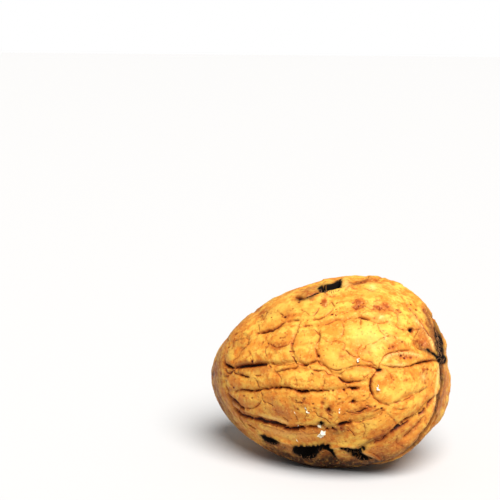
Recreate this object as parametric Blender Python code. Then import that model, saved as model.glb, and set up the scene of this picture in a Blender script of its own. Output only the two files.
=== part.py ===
"""English walnut in its shell, lying on its side: one closed solid, in metres, +Z up."""

import math

import bmesh
import bpy
import numpy as np
from mathutils import Matrix, Vector, noise

MM = 0.001
NAME = "walnut"

# Body: x runs along the nut to its stem end, y lies in the plane of the seam, z stands square to that plane.
STEM_REACH = 17.5 * MM
TIP_REACH = 23.0 * MM
STEM_BLUNTNESS = 2.55
TIP_BLUNTNESS = 1.77
HALF_WIDTH_IN_SEAM = 15.2 * MM
HALF_WIDTH_ACROSS = 15.0 * MM

# How the nut lies
TILT = math.radians(9.1)
ROLL = math.radians(23.0)
FOOT_CUT = 0.55 * MM
FOOT_PRESS = 0.03 * MM

# Keel: two lips with the seam between them, which gapes at the stem end
SEAM_OFFSET = 0.65 * MM
SEAM_WANDER = 0.3 * MM
SEAM_WANDER_LENGTH = 5.0 * MM
KEEL_RISE = 0.7 * MM
KEEL_HALF_WIDTH = 2.1 * MM
SEAM_DEPTH = 0.8 * MM
SEAM_HALF_WIDTH = 0.4 * MM
GAP_DEPTH = 2.6 * MM
GAP_HALF_WIDTH = 0.75 * MM
GAP_SPAN = 5.5 * MM
GAP_HEIGHT = 4.0 * MM

# Waves of the shell and the net of furrows on the sides that no traced furrow covers
SWELL = 0.35 * MM
SWELL_LENGTH = 9.0 * MM
NET_LENGTH = 7.5 * MM
NET_WIDTH = 4.4 * MM
NET_DEPTH = 0.9 * MM
NET_SPREAD = 0.2
NET_STRENGTH = 0.7
NET_PATCHES = 0.7
NET_KEEL_GAP = 2.4 * MM
NET_WARP = 1.6 * MM
NET_WARP_LENGTH = 6.0 * MM
DRIFT_SHIFTS = ((0.0, 0.0, 0.0), (17.3, 4.1, 9.7), (5.9, 21.7, 13.1))
TRACED_LIMIT = 0.42
TRACED_FADE = 0.4

# Section of a furrow, whose shoulders fall gently into it, and of a hollow, whose walls are steep.
# Both run out at their ends, where a share of their depth is left.
END_SHARE = 0.25
END_ROUNDNESS = 0.35
SHOULDER_SHARE = 0.35
SHOULDER_SPREAD = 2.8
HOLLOW_STEEPNESS = 3.5

# Resolution
SPHERE_LEVEL = 7
TRIANGLES = 11400
STROKE_STEP = 0.25 * MM
STROKE_REACH = 3.0
RAY_STEPS = 800

# The near face is laid out as it is seen from one point: these place that point and its picture frame.
EYE_AZIMUTH = math.radians(20.0)
EYE_ELEVATION = math.radians(15.0)
EYE_DISTANCE = 215.0 * MM
FOCAL_PIXELS = 1300.75
FRAME_MIDDLE = 250.0
NUT_PIXEL = (338.9, 371.8)

# Furrows of the near face: half width and depth, then the points in that picture frame
FURROWS = {
    "lower furrow": (0.75, 1.2, [(213, 383), (217, 396), (223, 405), (235, 411), (250, 416), (262, 418),
                                 (275, 421), (284, 425), (294, 427), (305, 426), (317, 425), (322, 423)]),
    "lower dashes": (0.5, 0.55, [(326, 427), (335, 425), (342, 423), (349, 422), (358, 420), (370, 417),
                                 (378, 414), (384, 409)]),
    "middle crack": (0.45, 0.75, [(217, 360), (228, 365), (236, 368), (250, 366), (266, 363.5), (281, 364),
                                (297, 362), (306, 364.5), (318, 362), (325, 366), (332, 373), (341, 375)]),
    "middle crack fork": (0.4, 0.55, [(216, 377), (229, 376), (236, 370), (241, 375), (251, 377)]),
    "middle branch": (0.4, 0.4, [(272, 374), (284, 371), (296, 369), (310, 370), (323, 372)]),
    "middle right": (0.45, 0.5, [(345, 371), (355, 367), (362, 366), (371, 367), (379, 369)]),
    "right crack": (0.45, 0.7, [(381, 366), (391, 367), (401, 368), (409, 367), (416, 364), (427, 362),
                                (438, 361)]),
    "second furrow": (0.5, 0.75, [(219, 387), (232, 390), (252, 390.5), (262, 389), (271, 387), (281, 387),
                                 (291, 388), (303, 391), (322, 391), (331, 390), (341, 389), (352, 388),
                                 (363, 387)]),
    "low left loop": (0.45, 0.6, [(219, 392), (230, 396), (238, 401), (241, 406), (248, 408), (256, 407),
                                 (262, 399), (263, 391)]),
    "low right furrow": (0.6, 0.9, [(436, 394), (427, 402), (420, 408), (412, 416), (402, 420), (393, 428),
                                    (385, 435), (372, 440), (360, 444)]),
    "right low branch": (0.4, 0.6, [(420, 422), (412, 430), (403, 438)]),
    "upper left line": (0.45, 0.55, [(252, 338), (260, 334), (275, 331), (283, 326), (291, 322), (301, 321),
                                   (320, 320), (328, 317)]),
    "upper line": (0.45, 0.55, [(299, 328), (310, 327), (320, 325), (330, 321), (341, 320), (360, 319),
                               (371, 320), (379, 322), (388, 325)]),
    "cell wall": (0.45, 0.5, [(300, 322), (297, 330), (294, 338), (292, 346), (293, 353), (297, 359),
                             (302, 363)]),
    "next cell wall": (0.4, 0.5, [(317, 328), (320, 337), (318, 345), (317, 353), (320, 361)]),
    "round cell": (0.45, 0.6, [(375, 368), (369, 380), (370, 390), (374, 398), (381, 403), (388, 405),
                              (396, 402), (412, 394), (427, 388)]),
    "lens cell": (0.4, 0.5, [(380, 364), (386, 357), (396, 352), (408, 351), (420, 354), (430, 358)]),
    "lower middle cell": (0.4, 0.45, [(340, 374), (346, 381), (356, 382), (369, 381)]),
    "left loop": (0.4, 0.45, [(235, 359), (243, 346), (249, 339), (243, 336), (232, 344)]),
    "keel valley": (0.7, 0.9, [(398, 303), (411, 314), (421, 324.5), (427, 335), (432.5, 346), (436, 357)]),
    "high line": (0.45, 0.5, [(347, 283), (358, 284), (370, 282), (384, 282), (394, 288), (402, 300)]),
}

# Deep hollows beside the keel and pits: half width and depth, then points
HOLLOWS = {
    "top hollow": (1.7, 3.4, [(322, 289), (331, 287.5), (341, 286)]),
    "top cut": (0.7, 1.3, [(295, 301), (310, 299), (321, 292)]),
    "low left hollow": (1.2, 2.4, [(263, 439), (271, 442), (278, 445)]),
    "low middle hollow": (1.6, 3.0, [(296, 449), (307, 451), (319, 452), (327, 455)]),
    "low right hollow": (1.0, 2.2, [(340, 449), (349, 450), (358, 452)]),
    "low last hollow": (1.3, 2.4, [(352, 455), (360, 457), (367, 459)]),
    "furrow end pit": (0.8, 1.5, [(318, 422), (324, 425)]),
    "second furrow pit": (0.7, 1.0, [(343, 389), (354, 388)]),
    "right pit": (0.6, 1.1, [(410, 328), (412, 330)]),
    "red hollow": (1.9, 0.8, [(416, 336), (421, 341), (427, 347)]),
    "crack pit": (0.6, 0.9, [(378, 368), (380, 370)]),
    "keel gash": (0.5, 0.8, [(412, 315), (416, 320)]),
    "keel second gash": (0.5, 0.8, [(423, 307), (426, 315)]),
    "dimple": (0.9, 0.4, [(325, 304), (327, 305)]),
    "second dimple": (0.9, 0.4, [(357, 306), (359, 307)]),
    "third dimple": (0.9, 0.4, [(380, 307), (382, 308)]),
    "fourth dimple": (0.8, 0.4, [(404, 357), (406, 358)]),
    "fifth dimple": (0.8, 0.4, [(335, 314), (337, 315)]),
    "sixth dimple": (0.8, 0.4, [(352, 402), (356, 403)]),
    "seventh dimple": (0.8, 0.4, [(327, 410), (330, 411)]),
    "tip spot": (0.5, 0.6, [(210, 374), (216, 374)]),
}

# Raised lips: half width and height, then points
RIDGES = {
    "bottom lip": (0.8, 0.45, [(258, 430), (265, 435), (283, 440), (297, 444), (310, 444.5), (323, 444),
                              (331, 448), (341, 446), (352, 447), (362, 451), (370, 455), (388, 458),
                              (397, 456), (405, 452)]),
    "hollow buttress": (0.6, 1.0, [(332, 449), (335, 457), (338, 464)]),
    "top lip": (0.7, 0.6, [(300, 303), (320, 297), (331, 293.5), (342, 291)]),
    "top bridge": (0.9, 0.5, [(345, 278), (347, 284), (349, 290)]),
    "keel valley rim": (0.9, 0.5, [(403, 300), (417, 312), (427, 325), (433, 337), (437, 350)]),
}

# Broad swellings and flats that set the outline: half width and height, then points
SWELLINGS = {
    "upper left flat": (5.0, -0.9, [(288, 290), (300, 285), (316, 280)]),
    "top bulge": (4.5, 0.5, [(360, 277), (382, 278)]),
    "upper right flat": (4.0, -0.45, [(430, 308), (438, 322)]),
    "lower right flat": (5.5, -0.6, [(385, 461), (404, 453), (422, 440)]),
    "stem end bulge": (4.5, 0.55, [(449, 362), (450, 385)]),
}

MATERIALS = {"shell": ((0.62, 0.36, 0.13), 0.6)}


def clear_scene():
    for scene_object in list(bpy.data.objects):
        bpy.data.objects.remove(scene_object, do_unlink=True)


def base_radius(direction):
    """Distance from the nut's middle to its smooth form, along each unit direction."""
    x, y, z = direction[:, 0], direction[:, 1], direction[:, 2]
    reach = np.where(x > 0, STEM_REACH, TIP_REACH)
    bluntness = np.where(x > 0, STEM_BLUNTNESS, TIP_BLUNTNESS)
    girth = np.sqrt((y / HALF_WIDTH_IN_SEAM) ** 2 + (z / HALF_WIDTH_ACROSS) ** 2)
    return (np.abs(x / reach) ** bluntness + girth ** bluntness) ** (-1.0 / bluntness)


def lying_matrix():
    """Turn from the nut's own axes to the way it lies."""
    across = Vector((0.0, -math.cos(ROLL), math.sin(ROLL)))
    along = Vector((1.0, 0.0, 0.0))
    in_seam = across.cross(along)
    rolled = Matrix((along, in_seam, across)).transposed()
    return Matrix.Rotation(-TILT, 3, "Y") @ rolled


def eye_frame():
    """Eye point and its right, up and forward directions, seen from the nut's middle."""
    back = Vector((math.sin(EYE_AZIMUTH) * math.cos(EYE_ELEVATION),
                   -math.cos(EYE_AZIMUTH) * math.cos(EYE_ELEVATION),
                   math.sin(EYE_ELEVATION)))
    aim = Vector((NUT_PIXEL[0] - FRAME_MIDDLE, FRAME_MIDDLE - NUT_PIXEL[1], FOCAL_PIXELS)).normalized()
    pitch = math.asin(math.sin(EYE_ELEVATION) / math.hypot(aim.y, aim.z)) + math.atan2(aim.y, aim.z)
    level = aim.z * math.cos(pitch) + aim.y * math.sin(pitch)
    heading = EYE_AZIMUTH + math.atan2(aim.x, level)
    right = Vector((math.cos(heading), math.sin(heading), 0.0))
    forward = Vector((-math.sin(heading) * math.cos(pitch), math.cos(heading) * math.cos(pitch),
                      -math.sin(pitch)))
    return back * EYE_DISTANCE, right, right.cross(forward), forward


def seen_direction(pixel, eye, right, up, forward, to_nut):
    """Direction from the nut's middle to the point of its smooth form that a pixel shows."""
    ray = (forward * FOCAL_PIXELS + right * (pixel[0] - FRAME_MIDDLE) + up * (FRAME_MIDDLE - pixel[1]))
    start = to_nut @ eye
    ray = (to_nut @ ray).normalized()
    nearest = -start.dot(ray)
    steps = np.linspace(nearest - TIP_REACH, nearest, RAY_STEPS)
    points = np.array(start)[None, :] + steps[:, None] * np.array(ray)[None, :]
    lengths = np.linalg.norm(points, axis=1)
    inside = lengths < base_radius(points / lengths[:, None])
    index = int(np.argmax(inside)) if inside.any() else len(steps) - 1
    return points[index] / lengths[index]


def smooth_path(corners):
    """Points a short step apart on a smooth curve through the corners."""
    corners = [Vector(corner) for corner in corners]
    padded = [corners[0] * 2 - corners[1]] + corners + [corners[-1] * 2 - corners[-2]]
    path = []
    for before, start, end, after in zip(padded, padded[1:], padded[2:], padded[3:]):
        count = max(2, round((end - start).length / STROKE_STEP))
        for index in range(count):
            t = index / count
            path.append(0.5 * (2 * start + (end - before) * t
                               + (2 * before - 5 * start + 4 * end - after) * t ** 2
                               + (3 * start - before - 3 * end + after) * t ** 3))
    path.append(corners[-1])
    return np.array(path)


def lay_strokes(table):
    """Paths on the smooth form, with their half widths and heights, from a table of picture points."""
    eye, right, up, forward = eye_frame()
    to_nut = lying_matrix().transposed()
    strokes = []
    for half_width, height, pixels in table.values():
        directions = np.array([seen_direction(pixel, eye, right, up, forward, to_nut) for pixel in pixels])
        path = smooth_path(directions * base_radius(directions)[:, None])
        strokes.append((path, half_width * MM, height * MM))
    return strokes


def stroke_profile(points, path, half_width, steepness=2.0):
    """One on a stroke's path, falling smoothly to nothing beside it and towards its ends."""
    weight = np.zeros(len(points))
    reach = STROKE_REACH * half_width
    near = np.all((points > path.min(axis=0) - reach) & (points < path.max(axis=0) + reach), axis=1)
    candidates = np.nonzero(near)[0]
    if len(candidates) == 0:
        return weight
    gaps = np.linalg.norm(points[candidates, None, :] - path[None, :, :], axis=2)
    nearest = gaps.argmin(axis=1)
    place = np.linspace(0.0, 1.0, len(path))[nearest]
    fullness = np.clip(np.sin(math.pi * place), 0.0, 1.0) ** END_ROUNDNESS
    taper = END_SHARE + (1.0 - END_SHARE) * fullness
    weight[candidates] = taper * np.exp(-(gaps.min(axis=1) / half_width) ** steepness)
    return weight


def strongest(points, strokes, spread=1.0, steepness=2.0):
    """Largest height that any one stroke gives each point."""
    height = np.zeros(len(points))
    for path, half_width, peak in strokes:
        shape = stroke_profile(points, path, half_width * spread, steepness)
        height = np.maximum(height, peak * shape)
    return height


def from_seam(points):
    """Distance of each point from the seam, positive on the near half."""
    wander = SEAM_WANDER * np.array([noise.noise(Vector(point) / SEAM_WANDER_LENGTH) for point in points])
    return points[:, 2] - SEAM_OFFSET + wander


def keel(points, across):
    """Height of the keel's lips less the depth of the seam between them."""
    lips = KEEL_RISE * np.exp(-(across / KEEL_HALF_WIDTH) ** 4)
    seam = SEAM_DEPTH * np.exp(-(across / SEAM_HALF_WIDTH) ** 2)
    gap_middle = np.array((STEM_REACH, GAP_HEIGHT, SEAM_OFFSET))
    distance = np.linalg.norm(points - gap_middle, axis=1)
    opening = np.exp(-(distance / GAP_SPAN) ** 4)
    gap = opening * GAP_DEPTH * np.exp(-(across / GAP_HALF_WIDTH) ** 2)
    return lips - np.maximum(seam, gap)


def waves(points):
    return SWELL * np.array([noise.noise(Vector(point) / SWELL_LENGTH) for point in points])


def drift(place):
    """A smooth wandering vector, each part within about one."""
    return Vector([noise.noise(place + Vector(shift)) for shift in DRIFT_SHIFTS])


def net(points):
    """Depth of the furrows between rounded cells, which run longer along the nut than round it."""
    depth = np.zeros(len(points))
    for index, point in enumerate(points):
        bent = Vector(point) + NET_WARP * drift(Vector(point) / NET_WARP_LENGTH)
        cell = Vector((bent.x / NET_LENGTH, bent.y / NET_WIDTH, bent.z / NET_WIDTH))
        distances, _ = noise.voronoi(cell)
        strength = NET_STRENGTH + NET_PATCHES * noise.noise(cell)
        depth[index] = strength * math.exp(-((distances[1] - distances[0]) / NET_SPREAD) ** 2)
    return NET_DEPTH * np.clip(depth, 0.0, 1.0)


def turned_away(points):
    """Zero where the traced face looks at the eye, one on the far side."""
    eye, _, _, _ = eye_frame()
    towards = np.array(lying_matrix().transposed() @ eye.normalized())
    facing = (points / np.linalg.norm(points, axis=1)[:, None]) @ towards
    return np.clip((TRACED_LIMIT - facing) / TRACED_FADE, 0.0, 1.0)


def relief(points):
    """Height of the shell's surface over the smooth form at each of its points."""
    furrows = lay_strokes(FURROWS)
    cut = strongest(points, furrows) + SHOULDER_SHARE * strongest(points, furrows, spread=SHOULDER_SPREAD)
    hollow = strongest(points, lay_strokes(HOLLOWS), steepness=HOLLOW_STEEPNESS)
    raised = strongest(points, lay_strokes(RIDGES))
    broad = sum(peak * stroke_profile(points, path, half_width)
                for path, half_width, peak in lay_strokes(SWELLINGS))
    across = from_seam(points)
    netted = turned_away(points) * (1.0 - np.exp(-(across / NET_KEEL_GAP) ** 4))
    return (broad + keel(points, across) + waves(points) + raised - np.maximum(cut, hollow)
            - netted * net(points))


def fine_form():
    """Closed mesh of the nut in its lying position, its middle at the origin."""
    shell = bmesh.new()
    bmesh.ops.create_icosphere(shell, subdivisions=SPHERE_LEVEL, radius=1.0)
    directions = np.array([vertex.co.normalized() for vertex in shell.verts])
    smooth = directions * base_radius(directions)[:, None]
    heights = relief(smooth)
    placed = (smooth + directions * heights[:, None]) @ np.array(lying_matrix()).T
    floor = placed[:, 2].min() + FOOT_CUT
    placed[:, 2] = np.maximum(placed[:, 2], floor)
    for vertex, place in zip(shell.verts, placed):
        vertex.co = place
    mesh = bpy.data.meshes.new(NAME + ".fine")
    shell.to_mesh(mesh)
    shell.free()
    return mesh


def thinned(mesh):
    """The same form with fewer triangles, most of them where it bends."""
    carrier = bpy.data.objects.new(NAME + ".carrier", mesh)
    bpy.context.scene.collection.objects.link(carrier)
    thin = carrier.modifiers.new("Thin", "DECIMATE")
    thin.ratio = TRIANGLES / len(mesh.polygons)
    thin.use_collapse_triangulate = True
    evaluated = carrier.evaluated_get(bpy.context.evaluated_depsgraph_get())
    result = bpy.data.meshes.new_from_object(evaluated)
    bpy.data.objects.remove(carrier, do_unlink=True)
    return result


def stand(mesh):
    """Press the foot flat again and put the origin under the middle of the nut's box."""
    places = np.array([vertex.co for vertex in mesh.vertices])
    foot = places[:, 2] < places[:, 2].min() + FOOT_PRESS
    places[foot, 2] = places[:, 2].min()
    low, high = places.min(axis=0), places.max(axis=0)
    origin = np.array(((low[0] + high[0]) / 2, (low[1] + high[1]) / 2, low[2]))
    for vertex, place in zip(mesh.vertices, places - origin):
        vertex.co = place
    print("middle of the nut over its origin, mm:", -origin / MM)


def shell_material():
    colour, roughness = MATERIALS["shell"]
    material = bpy.data.materials.new("shell")
    material.use_nodes = True
    surface = material.node_tree.nodes["Principled BSDF"]
    surface.inputs["Base Color"].default_value = (*colour, 1.0)
    surface.inputs["Roughness"].default_value = roughness
    surface.inputs["Metallic"].default_value = 0.0
    return material


def build_walnut():
    mesh = thinned(fine_form())
    stand(mesh)
    mesh.name = NAME
    mesh.materials.append(shell_material())
    mesh.shade_smooth()
    walnut = bpy.data.objects.new(NAME, mesh)
    collection = bpy.data.collections.new(NAME)
    bpy.context.scene.collection.children.link(collection)
    collection.objects.link(walnut)


clear_scene()
build_walnut()
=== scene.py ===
"""English walnut in its shell on a white table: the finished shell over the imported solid."""

import math
import random

import bmesh
import bpy
import numpy as np
from mathutils import Matrix, Vector, kdtree, noise
from mathutils.bvhtree import BVHTree


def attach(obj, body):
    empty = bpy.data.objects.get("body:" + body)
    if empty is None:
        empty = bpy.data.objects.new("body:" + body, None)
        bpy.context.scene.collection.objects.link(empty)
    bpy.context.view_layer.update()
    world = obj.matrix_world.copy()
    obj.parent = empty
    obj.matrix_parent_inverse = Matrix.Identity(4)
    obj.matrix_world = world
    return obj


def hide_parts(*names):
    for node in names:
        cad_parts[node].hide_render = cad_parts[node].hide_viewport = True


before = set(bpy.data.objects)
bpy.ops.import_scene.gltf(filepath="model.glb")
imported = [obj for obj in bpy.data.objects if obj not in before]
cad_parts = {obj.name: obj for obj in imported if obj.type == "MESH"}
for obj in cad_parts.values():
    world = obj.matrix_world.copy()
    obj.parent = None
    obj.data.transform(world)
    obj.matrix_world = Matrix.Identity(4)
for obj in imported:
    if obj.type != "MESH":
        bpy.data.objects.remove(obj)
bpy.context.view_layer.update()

MM = 0.001
NODE = "walnut"

# Where the middle of the nut stands over its origin
NUT_MIDDLE = Vector((2.509, 0.132, 14.702)) * MM

# Body: x runs along the nut to its stem end, y lies in the plane of the seam, z stands square to that plane.
STEM_REACH = 17.45 * MM
TIP_REACH = 22.35 * MM
STEM_BLUNTNESS = 2.55
TIP_BLUNTNESS = 1.77
HALF_WIDTH_IN_SEAM = 14.95 * MM
HALF_WIDTH_ACROSS = 14.8 * MM
TILT = math.radians(9.1)
ROLL = math.radians(23.0)

# Keel: two lips with the seam between them, which gapes at the stem end
SEAM_OFFSET = 0.65 * MM
SEAM_WANDER = 0.3 * MM
SEAM_WANDER_LENGTH = 5.0 * MM
KEEL_RISE = 0.7 * MM
KEEL_RISE_AT_STEM = 0.3 * MM
KEEL_HALF_WIDTH = 2.1 * MM
SEAM_DEPTH = 0.8 * MM
SEAM_HALF_WIDTH = 0.26 * MM
SEAM_SHADE = 0.3 * MM
SEAM_SHADE_SHIFT = 0.22 * MM
SEAM_FAINTEST = 0.25
GAP_DEPTH = 1.1 * MM
GAP_HALF_WIDTH = 0.7 * MM
GAP_SPAN = 5.5 * MM
GAP_HEIGHT = 4.0 * MM

# Waves of the shell and the net of furrows on the sides that no traced furrow covers
SWELL = 0.35 * MM
SWELL_LENGTH = 9.0 * MM
NET_LENGTH = 7.5 * MM
NET_WIDTH = 4.4 * MM
NET_DEPTH = 0.55 * MM
NET_SPREAD = 0.2
NET_LINE = 0.045
NET_LINE_DEPTH = 0.25 * MM
NET_LINE_TONE = 0.7
NET_STRENGTH = 0.45
NET_PATCHES = 1.1
NET_KEEL_GAP = 2.4 * MM
NET_WARP = 1.6 * MM
NET_WARP_LENGTH = 6.0 * MM
DRIFT_SHIFTS = ((0.0, 0.0, 0.0), (17.3, 4.1, 9.7), (5.9, 21.7, 13.1))
TRACED_LIMIT = 0.36
TRACED_FADE = 0.4
LAST_SEEN = 0.02
LEAST_GIRTH = 0.001
UNSEEN_REACH = 0.25

# Section of a furrow, whose shoulders fall gently into it, and of a hollow, whose walls are steep
END_SHARE = 0.25
END_ROUNDNESS = 0.35
FURROW_SHARE = 0.55
SHOULDER_SHARE = 0.3
SHOULDER_SPREAD = 2.8
HOLLOW_WALL = 2.6
LEAST_WALL = 0.5
HOLLOW_MARGIN = 4.0
# Ragged edge of the black painted shadow inside each hollow, and the reach of the painted shade just outside
# it
RAGGEDNESS = 3.0
RAG_SHIFT = 0.8
HOLLOW_SHADE_REACH = 1.9
RAG_SIZE = (0.4 * MM, 1.3 * MM, 1.3 * MM)
SHADOW_BLACK_EDGE = 0.9

# Mesh of the shell, which is finer beside lines and finest on them
SPHERE_LEVEL = 7
LINE_REACHES = (0.38 * MM, 0.17 * MM)
NET_REACH = 0.11
HOLLOW_EDGE = 1.2
STROKE_STEP = 0.15 * MM
STROKE_REACH = 3.0
RAY_STEPS = 1500
RAY_ROUNDS = 3

# Wander of a cracked line along its way, in two lengths of wave, and how its depth and width change
WANDERS = ((0.9 * MM, 0.16 * MM), (0.35 * MM, 0.06 * MM))
DEPTH_WAVE = 1.3 * MM
DEPTH_CHANGE = 0.5
LINE_END = 0.3
LEAST_LINE_WIDTH = 0.5
LEAST_LINE_TONE = 0.4
SPOT_DEPTH = 0.6
SPOT_REACH = 0.3

# The eye and its picture, 500 pixels square, in which the near face is laid out
EYE_AZIMUTH = math.radians(20.0)
EYE_ELEVATION = math.radians(15.0)
EYE_DISTANCE = 215.0 * MM
FOCAL_PIXELS = 1300.75
FRAME_PIXELS = 500.0
FRAME_MIDDLE = FRAME_PIXELS / 2
NUT_PIXEL = (338.9, 371.8)
SENSOR = 36.0
NEAREST_SEEN = 0.01
PIXEL = EYE_DISTANCE / FOCAL_PIXELS

# Furrows of the near face: half width and depth in mm, then points in the picture
FURROWS = {
    "lower furrow": (0.75, 1.1, [
        (213, 382), (217, 394), (223, 402.5), (235, 408.5), (250, 413.6), (262, 417), (275, 420.4),
        (284, 423.8), (294, 426), (305, 425), (317, 424.5), (322, 423)]),
    "lower dashes": (0.5, 0.55, [
        (326, 427), (335, 425), (342, 423), (349, 422), (358, 420), (370, 417), (378, 414), (384, 409)]),
    "middle crack": (0.45, 0.75, [
        (217, 360), (228, 365), (236, 368), (250, 366), (266, 363.5), (281, 364), (297, 362), (306, 364.5),
        (318, 362), (325, 366), (332, 373), (341, 375)]),
    "middle crack fork": (0.4, 0.55, [(216, 377), (229, 376), (236, 370), (241, 375), (251, 377)]),
    "middle branch": (0.4, 0.4, [(272, 374), (284, 371), (296, 369), (310, 370), (323, 372)]),
    "middle right": (0.45, 0.5, [(345, 371), (355, 367), (362, 366), (371, 367), (379, 369)]),
    "right crack": (0.45, 0.7, [
        (381, 366), (391, 367), (401, 368), (409, 367), (416, 364), (427, 362), (438, 361)]),
    "second furrow": (0.5, 0.75, [
        (219, 387), (232, 390), (252, 390.5), (262, 389), (271, 387), (281, 387), (291, 388), (303, 391),
        (322, 391), (331, 390), (341, 389), (352, 388), (363, 387)]),
    "low left loop": (0.4, 0.35, [
        (219, 392), (230, 396), (238, 401), (241, 406), (248, 408), (256, 407), (262, 399), (263, 391)]),
    "low right furrow": (0.6, 0.9, [
        (436, 394), (427, 402), (420, 408), (412, 416), (402, 420), (393, 428), (385, 435), (372, 440),
        (360, 444)]),
    "right low branch": (0.4, 0.6, [(420, 422), (412, 430), (403, 438)]),
    "upper left line": (0.45, 0.55, [
        (252, 338), (260, 334), (275, 331), (283, 326), (291, 322), (301, 321), (320, 320), (328, 317)]),
    "upper line": (0.45, 0.55, [
        (299, 328), (310, 327), (320, 325), (330, 321), (341, 320), (360, 319), (371, 320), (379, 322),
        (388, 325)]),
    "cell wall": (0.45, 0.5, [
        (300, 322), (297, 330), (294, 338), (292, 346), (293, 353), (297, 359), (302, 363)]),
    "next cell wall": (0.4, 0.5, [(317, 328), (320, 337), (318, 345), (317, 353), (320, 361)]),
    "round cell": (0.45, 0.42, [
        (375, 368), (369, 380), (370, 390), (374, 398), (381, 403), (388, 405), (396, 402), (412, 394),
        (427, 388)]),
    "lens cell": (0.4, 0.5, [(380, 364), (386, 357), (396, 352), (408, 351), (420, 354), (430, 358)]),
    "lower middle cell": (0.4, 0.45, [(340, 374), (346, 381), (356, 382), (369, 381)]),
    "left loop": (0.4, 0.45, [(235, 359), (243, 346), (249, 339), (243, 336), (232, 344)]),
    "keel valley": (0.5, 0.7, [
        (404, 302), (408, 308), (413, 316), (418, 325), (423, 333), (427, 341), (430, 348)]),
    "high line": (0.45, 0.5, [(347, 283), (358, 284), (370, 282), (384, 282), (394, 288), (402, 300)]),
}

# Deep hollows beside the keel and pits, whose insides are painted black as shadow: depth in mm, then their
# outline in the picture
HOLLOWS = {
    "top hollow": (3.2, [
        (318.6, 289), (321, 286.4), (326, 285.6), (332, 284.4), (336, 282), (340, 279.6), (341, 283),
        (340.6, 288), (336, 290), (331, 291.8), (325, 293.2), (321, 291.6)]),
    "top cut": (0.5, [
        (298, 298.2), (304, 299.2), (311, 297.4), (318, 293.4), (314, 297.6), (308, 300), (301, 300.2)]),
    "low left hollow": (2.0, [
        (260.8, 434.8), (264.9, 434.4), (268.9, 436), (274.8, 438.4), (279.4, 440.8), (278.6, 443.8),
        (273.8, 444), (268.9, 442.6), (265.4, 440.6), (263.2, 438)]),
    "low middle hollow": (2.8, [
        (293.6, 444.6), (300.7, 444.6), (308.6, 444.8), (316.6, 444), (323.5, 443.3), (328.5, 444.8),
        (332, 448), (334.5, 452.6), (336.4, 457.4), (333, 453.2), (329.5, 450.2), (324.5, 449.6),
        (320.5, 451.2), (318, 454), (314.6, 457.4), (309.6, 458.8), (303.6, 457.8), (300, 455.4),
        (296.2, 453.8), (293.2, 451.4)]),
    "low right hollow": (2.2, [
        (340.6, 447), (344.4, 446.6), (350.4, 447.2), (357.3, 447.8), (361.6, 446.6), (364.8, 446.8),
        (364.6, 448.8), (360.8, 450.4), (360.2, 452.6), (363.6, 454.8), (368, 456.8), (371.6, 458.4),
        (367, 459.6), (361.3, 459.2), (355.6, 457.2), (351.8, 454.8), (349.8, 452), (345.4, 449.8),
        (341, 448.8)]),
    "furrow end pit": (1.0, [(318.6, 422.6), (321, 421.8), (324, 422.6), (323.8, 424), (320.4, 424.4)]),
    "right pit": (0.6, [
        (409.2, 329), (410.8, 328.2), (412.8, 328), (413.4, 329), (413, 330.6), (411.4, 331.2),
        (409.8, 330.4)]),
    "crack pit": (0.5, [(378, 369.8), (379.8, 369.3), (381.2, 369.6), (380, 370.4), (378.4, 370.4)]),
    "gap by the stem": (0.8, [
        (434.8, 327.4), (438.8, 332), (441.4, 338), (442.6, 344), (442.8, 350), (443.4, 355.2),
        (445.8, 359), (445.8, 362.4), (442, 363.4), (438.6, 361), (436.8, 358), (438.6, 355),
        (438.6, 349.5), (438, 343.8), (436.8, 337), (434.8, 331.5)]),
    "gap corner": (0.4, [
        (428.2, 348.9), (431.5, 351.3), (434.6, 354), (437.6, 357), (437.2, 357.6), (434, 354.8),
        (430.8, 352.1), (428, 349.6)]),
}

# Shallow bowls, stained but not dark: half width and depth in mm, then points
DIMPLES = {
    "red hollow": (1.9, 0.8, [(416, 336), (421, 341), (427, 347)]),
    "first": (0.9, 0.4, [(325, 304), (327, 305)]),
    "second": (0.9, 0.4, [(357, 306), (359, 307)]),
    "third": (0.9, 0.4, [(380, 307), (382, 308)]),
    "lens floor": (0.7, 0.4, [(392, 357), (405, 356.5), (418, 357)]),
    "fifth": (0.8, 0.4, [(335, 314), (337, 315)]),
    "sixth": (0.8, 0.4, [(352, 402), (356, 403)]),
    "seventh": (0.8, 0.4, [(327, 410), (330, 411)]),
    "low middle floor": (1.4, 1.2, [(320, 455), (327, 458), (332, 461)]),
}

# Raised lips: half width and height in mm, then points
RIDGES = {
    "bottom lip": (0.4, 0.4, [
        (258, 433.5), (265, 434.5), (276, 438.5), (290, 443), (302, 445), (313, 444.5), (323, 443.5),
        (331, 446.5), (341, 445.5), (352, 446.8), (362, 450.5), (370, 454.5), (380, 457)]),
    "hollow buttress": (0.5, 0.5, [(332, 449), (335, 455), (338, 460)]),
    "top lip": (0.7, 0.6, [(300, 303), (320, 297), (331, 293.5), (342, 291)]),
    "top bridge": (0.9, 0.5, [(345, 278), (347, 284), (349, 290)]),
    "keel valley rim": (0.45, 0.4, [
        (410, 312), (415.5, 320), (421, 325.6), (426, 332.3), (430, 339), (433, 346)]),
}

# Broad swellings and flats that set the outline: half width and height in mm, then points
SWELLINGS = {
    "upper left flat": (4.5, -0.5, [(296, 287), (308, 283), (324, 280)]),
    "upper left bulge": (4.0, 0.5, [(252, 312), (238, 324), (225, 340)]),
    "top bulge": (4.5, 0.5, [(366, 277), (390, 278), (404, 284)]),
    "far lip": (1.2, 0.35, [(441, 332), (444, 338), (446.5, 350)]),
    "stem end bulge": (4.5, 0.55, [(451, 370), (451, 384), (447, 396), (441, 408)]),
}

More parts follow.
